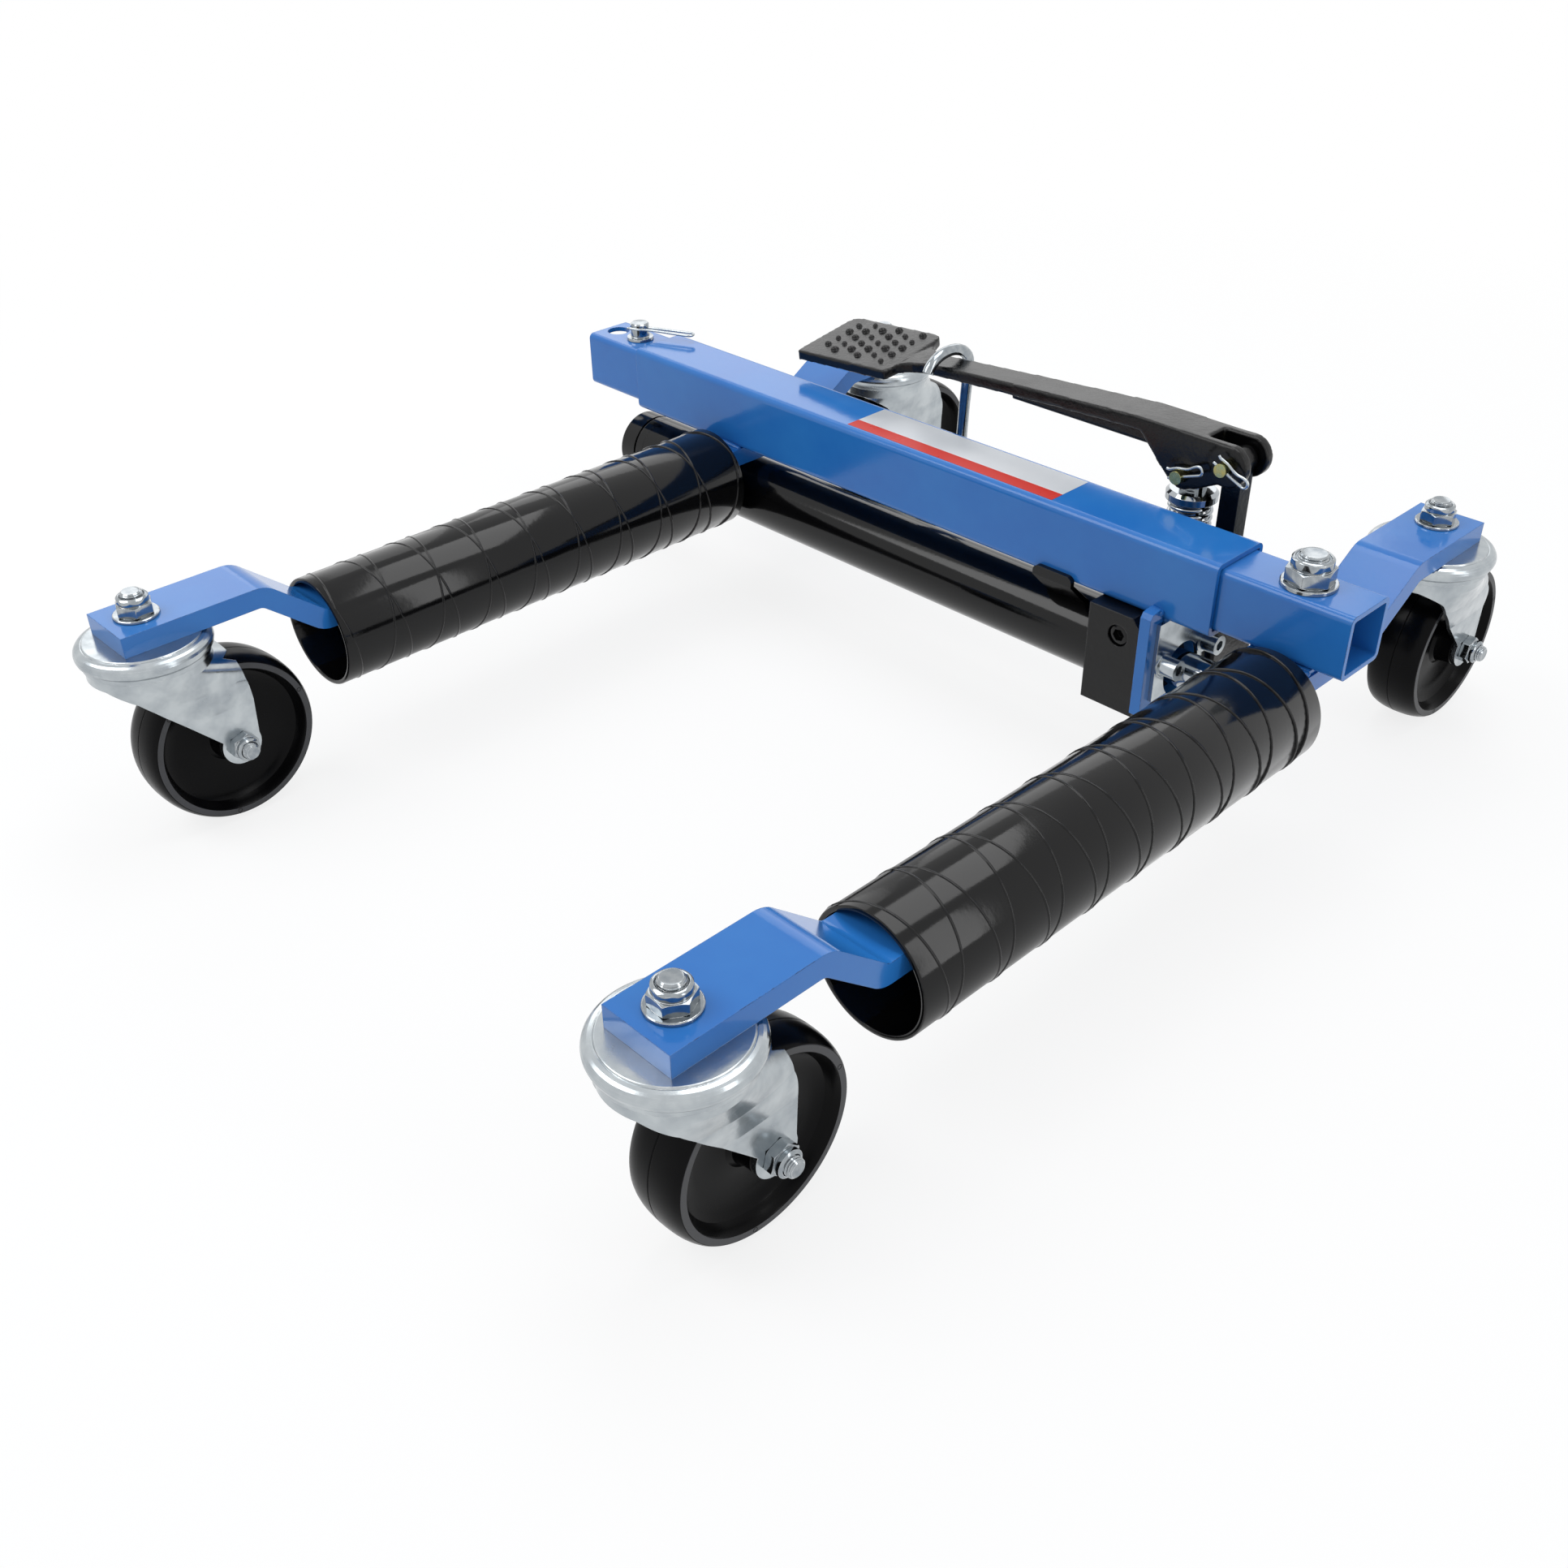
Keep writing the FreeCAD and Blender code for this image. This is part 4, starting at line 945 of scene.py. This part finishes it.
@dataclass
class Lever:
    """The cast foot lever: a studded pad, a twisted neck, a long arm and a forked head with two bosses.

    Attributes:
        middle_y: The line of the pump, in millimetres.
        axis_z: The height about which the pad is rolled.
        roll: How far the pad leans to the front, in degrees.
        twist: The share of the roll from one place along the lever to another.
        stud: The radius of one stud.
        column: The step between two columns of studs.
        row: The step between two studs of a column.
        front: How far the pad reaches to the front, which keeps it off the tube when it is pressed.
        half: Half the width of the fork's head.
        bore: The radius of the holes for both pins.
        bosses: The radius of the boss round the pivot and of the one round the plunger's pin.
        slots: Two corners of each gap between the cheeks, with Y counted from the pump's line.
        rib: Two corners of the rib under the arm, counted the same way.
        grain: The size of the voxels that melt the lever into one casting.
    """

    middle_y: float = 181.0
    axis_z: float = 181.0
    roll: float = 9.0
    twist: tuple[Point, ...] = ((1.0, -200, -55), (0.55, -55, -45), (0.2, -45, -35))
    stud: float = 2.65
    column: float = 10.9
    row: float = 10.3
    front: float = 27.6
    half: float = 14.0
    bore: float = 4.3
    bosses: Pair = (12.6, 9.2)
    slots: tuple[tuple[Point, Point], ...] = (((153, -8, 140), (230, 8, 184)), ((177, -8, 140), (230, 8, 220)))
    rib: tuple[Point, Point] = ((30, -3, 176), (150, 3, 188))
    grain: float = 0.95

    def build(self) -> None:
        """Cast the lever and put it in place of its CAD node."""
        pins = (middle("pivot_pin"), middle("plunger_pin"))
        body = carve(self.plan(), self.extruded(LEVER_SIDE, 45), "INTERSECT")
        self.lean(body)
        bosses = [self.crosswise(spot, radius, self.half + 0.4, 48) for spot, radius in zip(pins, self.bosses)]
        for part in (self.extruded(LEVER_CHEEK, self.half), *bosses, self.block(self.rib)):
            body = carve(body, part, "UNION")
        for slot in self.slots:
            body = carve(body, self.block(slot))
        modify(body, "REMESH", mode="VOXEL", voxel_size=self.grain * MM)
        modify(body, "SMOOTH", factor=0.5, iterations=5)
        for spot in pins:
            body = carve(body, self.crosswise(spot, self.bore, 30, 24))
        body = joined([body] + self.studs())
        hand_over(body, "lever_casting", BLACK_CASTING, "lever", ("pump_lever",), angle=60)

    def crosswise(self, spot: Vector, radius: float, reach: float, steps: int) -> Piece:
        """Make a rod through the head, along Y and as long to both sides of the pump's line."""
        return settle(rod(radius, -reach, reach, steps), standing((spot.x, self.middle_y, spot.z), "Y"))

    def block(self, corners: tuple[Point, Point]) -> Piece:
        """Make a box from two corners whose Y is counted from the pump's line."""
        return slab(*((across, self.middle_y + back, up) for across, back, up in corners))

    def plan(self) -> Piece:
        """Draw the lever from above, with round pad corners and hollow fillets at the neck, and extrude it.

        Returns:
            The outline as a tall solid.
        """
        foot, tall = 150, 60
        line = [(across, self.middle_y - min(out, self.front), foot) for across, out in LEVER_PLAN]
        line += [(across, self.middle_y + out, foot) for across, out in reversed(LEVER_PLAN)]
        return prism(line, (0, 0, tall))

    def extruded(self, line: Sequence[Pair], half: float) -> Piece:
        """Extrude an outline seen from the front, as far to both sides of the pump's line.

        Args:
            line: Each corner's place along the lever and its height, in millimetres.
            half: Half the width of the extrusion.

        Returns:
            The solid.
        """
        return prism([(across, self.middle_y - half, up) for across, up in line], (0, 2 * half, 0))

    def lean(self, body: Piece) -> None:
        """Roll the pad about the pump's line, which leaves a twist in the neck."""
        pick(body)
        bpy.ops.object.mode_set(mode="EDIT")
        bpy.ops.mesh.select_all(action="SELECT")
        bpy.ops.mesh.bisect(plane_co=(-0.05, 0, 0), plane_no=(1, 0, 0))
        centre = Vector((0, self.middle_y, self.axis_z)) * MM
        for share, low, high in self.twist:
            choose(body, lambda spot: low * MM <= spot.x < high * MM)
            bpy.ops.transform.rotate(value=-math.radians(self.roll * share), orient_axis="X", orient_type="GLOBAL",
                                     center_override=centre)
        bpy.ops.object.mode_set(mode="OBJECT")

    def studs(self) -> list[Piece]:
        """Raise the studs on the pad: six columns of four and five, each a slightly different lump.

        Returns:
            The studs.
        """
        made = []
        axis = Matrix.Translation(Vector((0, self.middle_y, self.axis_z)) * MM)
        tilt = axis @ Matrix.Rotation(math.radians(self.roll), 4, "X") @ axis.inverted()
        (outer, pad), (inner, neck) = LEVER_SIDE[:2]
        for column in range(6):
            count = 5 if column % 2 else 4
            for row in range(count):
                fresh()
                wobble = math.sin(7.3 * column + 4.1 * row)
                size = self.stud * (1 + 0.12 * wobble)
                bpy.ops.mesh.primitive_uv_sphere_add(segments=12, ring_count=7, radius=size * MM)
                lump = bpy.context.active_object
                lump.scale = (1.0, 0.86 + 0.1 * wobble, 0.8)
                lump.rotation_euler = (0.1 * wobble, 0.15, wobble)
                settle(lump)
                across = -124.5 + self.column * column
                back = self.middle_y + 4.5 + self.row * (row - (count - 1) / 2) + 0.5 * wobble
                up = pad + (across - outer) * (neck - pad) / (inner - outer) + 0.2
                made.append(settle(lump, tilt @ Matrix.Translation(Vector((across, back, up)) * MM)))
        return made


@dataclass
class Label:
    """A blank two-tone film on the outer tube's top: a red strip along the front and silver behind it.

    Attributes:
        left: Where it starts along the tube, in millimetres.
        right: Where it ends.
        front: Its front edge.
        split: Where the red ends and the silver begins.
        back: Its back edge.
        gap: The glue under it.
        thick: How thick it is.
    """

    left: float = -49.0
    right: float = 116.0
    front: float = 111.6
    split: float = 122.0
    back: float = 146.5
    gap: float = 0.02
    thick: float = 0.12

    def build(self) -> None:
        """Lay both films on the tube."""
        foot = highest("outer_tube").z + self.gap
        for name, finish, low, high in (("label_red", RED_FILM, self.front, self.split),
                                        ("label_silver", SILVER_FILM, self.split, self.back)):
            film = slab((self.left, low, foot), (self.right, high, foot + self.thick))
            modify(film, "BEVEL", width=self.thick / 3 * MM, segments=1, limit_method="ANGLE")
            hand_over(film, name, finish, "frame")


@dataclass
class Welds:
    """Beads of weld: a row of flattened overlapping ripples under the paint.

    Attributes:
        ripple: The half width of the bead in millimetres.
        step: How far one ripple lies from the next.
    """

    ripple: float = 2.6
    step: float = 1.7

    def build(self) -> None:
        """Lay every bead that shows."""
        low, high = lowest("ram_bracket"), highest("ram_bracket")
        tube, back = lowest("outer_tube"), highest("outer_tube").y
        row, level = tube.y - 1.4, tube.z - 0.2
        self.bead("weld_bracket_front", (low.x + 0.5, row, tube.z + 5.5), (high.x - 0.5, row, tube.z + 5.0), "frame")
        for side, across in (("left", low.x), ("right", high.x)):
            self.bead("weld_bracket_" + side, (across, tube.y + 3, level), (across, high.y - 1, level), "frame")
        low, high, level = lowest("left_side_bar"), highest("left_side_bar"), tube.z - 0.1
        for side, row in (("front", tube.y + 0.8), ("back", back - 0.8)):
            self.bead("weld_left_bar_" + side, (low.x + 2, row, level), (high.x - 2, row, level), "frame")
        low, high = lowest("bar_spacer"), highest("bar_spacer")
        for side, row in (("front", low.y + 0.2), ("back", high.y - 0.2)):
            self.bead("weld_spacer_" + side, (low.x + 1, row, low.z + 0.6), (high.x - 1, row, low.z + 0.6), "slider")
        across = lowest("hook_lug").x + 10
        self.bead("weld_lug", (across, back + 0.5, 113), (across, back + 0.5, 122), "frame")

    def bead(self, name: str, first: Point, last: Point, body: str) -> None:
        """Lay one bead between two points.

        Args:
            name: Its name.
            first: Its first point, in millimetres.
            last: Its last point.
            body: The body it rides on.
        """
        start, end = Vector(first), Vector(last)
        count = max(3, round((end - start).length / self.step))
        lumps = []
        for index in range(count + 1):
            wobble = math.sin(12.9 * index + start.x)
            fresh()
            size = self.ripple * (1 + 0.1 * wobble)
            bpy.ops.mesh.primitive_uv_sphere_add(segments=12, ring_count=8, radius=size * MM)
            lump = bpy.context.active_object
            lump.rotation_euler = (end - start).to_track_quat("X", "Z").to_euler()
            lump.scale = (0.62, 1.0, 0.8)
            spot = start.lerp(end, index / count) + Vector((0, 0, 0.25 * wobble))
            lumps.append(settle(lump, Matrix.Translation(spot * MM)))
        bead = joined(lumps)
        modify(bead, "REMESH", mode="VOXEL", voxel_size=0.5 * MM)
        modify(bead, "SMOOTH", factor=0.4, iterations=2)
        hand_over(bead, name, BLUE_PAINT, body, angle=80)


@dataclass
class Plug:
    """The hexagon-socket plug in the pump block's front face.

    Attributes:
        node: The CAD node that it replaces.
        key: The socket's radius to its corners, in millimetres.
        sink: How deep the socket goes, from the block's face.
        length: How long the plug is.
    """

    node: str = "block_plug"
    key: float = 3.9
    sink: float = 5.0
    length: float = 8.0

    def build(self) -> None:
        """Turn the plug, set into its dark bore, and sink its socket."""
        low, high = lowest(self.node), highest(self.node)
        radius, end = (high.x - low.x) / 2, self.length
        profile = [(0, 0.8), (radius - 1.2, 0.8), (radius - 0.3, 1.4), (radius, 2.3), (radius, end), (0, end)]
        body = lathed(profile, closed=False, steps=48)
        fresh()
        depth = 2 * (self.sink - 0.5)
        bpy.ops.mesh.primitive_cylinder_add(vertices=6, radius=self.key * MM, depth=depth * MM,
                                            location=(0, 0, (self.sink - depth / 2) * MM))
        body = carve(body, settle(bpy.context.active_object))
        place = standing(((low.x + high.x) / 2, low.y, (low.z + high.z) / 2), "Y", 20)
        hand_over(settle(body, place), "plug_turned", BLACK_ENAMEL, "frame", (self.node,))


@dataclass
class Hook:
    """The round wire hook that holds the lever down, and the eye that it swings on.

    Attributes:
        wire: The wire's radius in millimetres.
        reach: Half the width of the bend.
        spring: The height at which the bend starts.
        top: The height of the bend's middle line.
        tip: How far round the bend goes, in degrees.
        eye: The eye's outer radius.
        steps: How many steps make the bend.
    """

    wire: float = 3.7
    reach: float = 20.5
    spring: float = 180.5
    top: float = 193.4
    tip: float = 166.0
    eye: float = 7.0
    steps: int = 14

    def build(self) -> None:
        """Bend the wire and put it in place of its CAD node."""
        spot = middle("pedal_hook")
        spot.y, spot.z = highest("pedal_hook").y - self.eye, lowest("pedal_hook").z + self.eye
        side = spot.y + 3.6
        path = [(spot.x, spot.y, spot.z + 4), (spot.x, spot.y + 0.4, 132), (spot.x, spot.y + 1.6, 152),
                (spot.x, side - 0.6, 168), (spot.x, side, 177)]
        for step in range(self.steps + 1):
            angle = math.radians(self.tip * step / self.steps)
            path.append((spot.x, side - self.reach * (1 - math.cos(angle)),
                         self.spring + (self.top - self.spring) * math.sin(angle)))
        wire = strung(path, self.wire)
        hole, shoulder = 3.2, self.eye - 0.6
        profile = [(hole, -4.4), (shoulder, -4.4), (self.eye, -3.8), (self.eye, 3.8), (shoulder, 4.4), (hole, 4.4)]
        eye = settle(lathed(profile, steps=40), standing(spot, "X"))
        hand_over(joined([wire, eye]), "hook_wire", BRIGHT_ZINC, "hook", ("pedal_hook",), angle=50)


@dataclass
class LockPin:
    """The pin through both tubes: a round button over a washer.

    Attributes:
        shank: The pin's own radius in millimetres.
        button: The button's radius.
        washer: The washer's radius.
        stand: How far the button stands over the tube.
    """

    shank: float = 4.9
    button: float = 6.7
    washer: float = 9.8
    stand: float = 12.4

    def build(self) -> None:
        """Turn the pin and put it in place of its CAD node."""
        foot, spot = lowest("lock_pin").z, middle("lock_pin")
        seat = highest("inner_tube").z - foot
        top = seat + self.stand
        profile = [(0, 0), (self.shank - 0.9, 0), (self.shank, 1.2), (self.shank, seat), (self.washer - 0.3, seat),
                   (self.washer, seat + 0.5), (self.washer - 0.4, seat + 2.3), (self.button + 0.3, seat + 2.4),
                   (self.button, seat + 2.8), (self.button, top - 1.0), (self.button - 1.0, top - 0.1),
                   (self.button - 2.2, top), (0, top)]
        pin = settle(lathed(profile, closed=False, steps=48), standing((spot.x, spot.y, foot)))
        hand_over(pin, "lock_pin_turned", BRIGHT_ZINC, "slider", ("lock_pin",))


@dataclass
class ReturnSpring:
    """The coil that lifts the plunger.

    Attributes:
        node: The CAD node that it replaces.
        wire: The wire's radius in millimetres.
        turns: How many turns it has.
        stroke: How far the plunger presses it; not used.
        seat: The height of the housing that it stands on; not used.
    """

    node: str = "return_spring"
    wire: float = 1.4
    turns: int = 4
    stroke: float = 5.104
    seat: float = 129.0

    def build(self) -> None:
        """Wind the spring."""
        low, high, spot = lowest(self.node), highest(self.node), middle(self.node)
        radius = (high.x - low.x) / 2 - self.wire
        pitch = (high.z - low.z - 2 * self.wire) / self.turns
        coil = coiled(radius, self.wire, pitch, self.turns, sides=12, steps=40)
        foot = Vector((spot.x, spot.y, low.z + self.wire)) * MM
        settle(coil, Matrix.Translation(foot) @ Matrix.Rotation(math.pi / 2, 4, "X"))
        hand_over(coil, "return_spring_coil", CHROME, "frame", (self.node,), angle=60)
        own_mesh(coil)


@dataclass
class CrossBolt:
    """The big bolt through the sliding tube: its lock nut and threaded end."""

    node: str = "cross_nut"

    def build(self) -> None:
        """Make the nut in place of the CAD one."""
        nut = LockNut(bolt=8.0, flats=14.0, washer=15.5, stand=2.0, pitch=2.0)
        nut.fasten(self.node, "cross_bolt", middle(self.node), 12, "slider")


def dress_frame() -> None:
    """Give every CAD node that stays in view the finish of its material slot."""
    slots = {part["node"]: part["material_slot"] for part in frame["record"]["subparts"]}
    for name, piece in frame["nodes"].items():
        material = FINISHES[slots[name]].build()
        piece.data.materials.clear()
        piece.data.materials.append(material)
    LOG.info("dressed %d CAD nodes", len(frame["nodes"]))


@dataclass
class Studio:
    """The floor, the lamps and the camera.

    Attributes:
        azimuth: Where the camera stands round the jack, in degrees.
        elevation: How far it looks down, in degrees.
        roll: How far it tips, in degrees.
        stand: Where it stands, in metres.
        lens: Its focal length on a 36 mm sensor.
        lamps: Each lamp's name, place, target, width, height and power.
        floor_size: The floor's width in metres.
        floor_gap: How far it lies under the wheels.
        fade_reach: How far out the floor starts and ends to fade to pure white.
        fade_share: How much of it is pure white at those places.
        room_light: How strongly the room lights the jack.
    """

    azimuth: float = 46.27
    elevation: float = 34.41
    roll: float = -0.84
    stand: Point = (0.64445, -0.61287, 0.56325)
    lens: float = 37.78
    lamps: tuple[tuple[str, Point, Point, float, float, float], ...] = (
        ("key softbox", (-0.9, -1.3, 1.9), (0.0, 0.0, 0.08), 1.3, 1.3, 19.0),
        ("top softbox", (0.1, 0.5, 2.1), (0.0, 0.0, 0.08), 1.6, 1.0, 16.0),
        ("right strip", (1.9, 0.3, 1.1), (0.1, 0.0, 0.08), 0.4, 1.8, 7.0),
        ("back softbox", (-1.7, 2.0, 1.4), (0.0, 0.0, 0.1), 2.2, 1.1, 7.5),
        ("left strip", (-1.8, 0.4, 0.9), (-0.1, 0.0, 0.08), 0.5, 2.2, 4.0),
    )
    floor_size: float = 14.0
    floor_gap: float = 0.0002
    fade_reach: Pair = (0.55, 1.3)
    fade_share: Pair = (0.82, 1.0)
    room_light: float = 0.58

    def set_up(self) -> None:
        """Build the whole studio."""
        self.add_floor()
        self.add_world()
        for lamp in self.lamps:
            self.add_lamp(*lamp)
        self.add_camera()
        bpy.context.scene.view_settings.view_transform = "Standard"

    def add_floor(self) -> None:
        """Add a wide white floor that keeps the jack's shadow."""
        fresh()
        bpy.ops.mesh.primitive_plane_add(size=self.floor_size, location=(0, 0, -self.floor_gap))
        floor = bpy.context.active_object
        floor.name = "floor"
        material = bpy.data.materials.new("white paper floor")
        material.use_nodes = True
        tree = material.node_tree
        tree.nodes.clear()
        paper = add_node(tree, "BsdfDiffuse", inputs={"Color": linear("F4F4F4")})
        glow = add_node(tree, "Emission", inputs={"Color": linear("FFFFFF"), "Strength": 1.0})
        seen = self.seen(tree)
        place = add_node(tree, "TexCoord").outputs["Object"]
        reach = add_node(tree, "VectorMath", {"operation": "LENGTH"}, {0: place}).outputs["Value"]
        fade = span(tree, reach, self.fade_reach, self.fade_share)
        share = add_node(tree, "Math", {"operation": "MULTIPLY"}, {0: seen.outputs[0], 1: fade})
        mix = add_node(tree, "MixShader", inputs={0: share.outputs[0], 1: paper.outputs[0], 2: glow.outputs[0]})
        add_node(tree, "OutputMaterial", inputs={"Surface": mix.outputs[0]})
        floor.data.materials.append(material)

    def seen(self, tree: Tree) -> bpy.types.Node:
        """Tell rays that show a surface, straight, mirrored or through glass, from rays that only light it.

        Args:
            tree: The node tree.

        Returns:
            A node whose output is 1 for a ray that shows something.
        """
        ray = add_node(tree, "LightPath")
        straight = add_node(tree, "Math", {"operation": "MAXIMUM"}, {
            0: ray.outputs["Is Camera Ray"], 1: ray.outputs["Is Glossy Ray"]})
        return add_node(tree, "Math", {"operation": "MAXIMUM"}, {
            0: straight.outputs[0], 1: ray.outputs["Is Transmission Ray"]})

    def add_world(self) -> None:
        """Light the jack softly from all round, against white."""
        world = bpy.data.worlds.new("studio")
        bpy.context.scene.world = world
        world.use_nodes = True
        tree = world.node_tree
        tree.nodes.clear()
        soft = add_node(tree, "Background", inputs={"Color": linear("E9EDF2"), "Strength": self.room_light})
        white = add_node(tree, "Background", inputs={"Color": linear("FFFFFF"), "Strength": 1.0})
        seen = self.seen(tree)
        mix = add_node(tree, "MixShader", inputs={0: seen.outputs[0], 1: soft.outputs[0], 2: white.outputs[0]})
        add_node(tree, "OutputWorld", inputs={"Surface": mix.outputs[0]})

    def add_lamp(self, name: str, spot: Point, target: Point, wide: float, high: float, power: float) -> None:
        """Add one softbox.

        Args:
            name: Its name.
            spot: Where it hangs.
            target: The point it faces.
            wide: Its width in metres.
            high: Its height in metres.
            power: Its power in watts.
        """
        lamp = bpy.data.lights.new(name, "AREA")
        lamp.shape = "RECTANGLE"
        lamp.size = wide
        lamp.size_y = high
        lamp.energy = power
        holder = bpy.data.objects.new(name, lamp)
        holder.location = spot
        aim = Vector(target) - Vector(spot)
        holder.rotation_euler = aim.to_track_quat("-Z", "Y").to_euler()
        bpy.context.scene.collection.objects.link(holder)

    def add_camera(self) -> None:
        """Stand the camera where the photograph was taken from."""
        turn, tip, lean = (math.radians(angle) for angle in (self.azimuth, self.elevation, self.roll))
        back = Vector((math.sin(turn) * math.cos(tip), -math.cos(turn) * math.cos(tip), math.sin(tip)))
        right = Vector((0, 0, 1)).cross(back).normalized()
        up = back.cross(right)
        leaning = (math.cos(lean) * right + math.sin(lean) * up, math.cos(lean) * up - math.sin(lean) * right)
        axes = Matrix((*leaning, back)).transposed()
        camera = bpy.data.cameras.new("camera")
        camera.lens = self.lens
        camera.sensor_width = 36.0
        camera.clip_start = 0.02
        holder = bpy.data.objects.new("camera", camera)
        holder.matrix_world = Matrix.Translation(Vector(self.stand)) @ axes.to_4x4()
        bpy.context.scene.collection.objects.link(holder)
        bpy.context.scene.camera = holder


def main() -> None:
    """Dress the frame, build the pieces and set up the studio."""
    dress_frame()
    Roller("left_roller", "roller_left", crossing=45).build()
    Roller("right_roller", "roller_right", crossing=135).build()
    for corner in Corner:
        Caster(corner).build()
    CrossBolt().build()
    Lever().build()
    ReturnSpring().build()
    Hook().build()
    LockPin().build()
    Plug().build()
    Welds().build()
    Label().build()
    Studio().set_up()


if __name__ == "__main__":
    main()
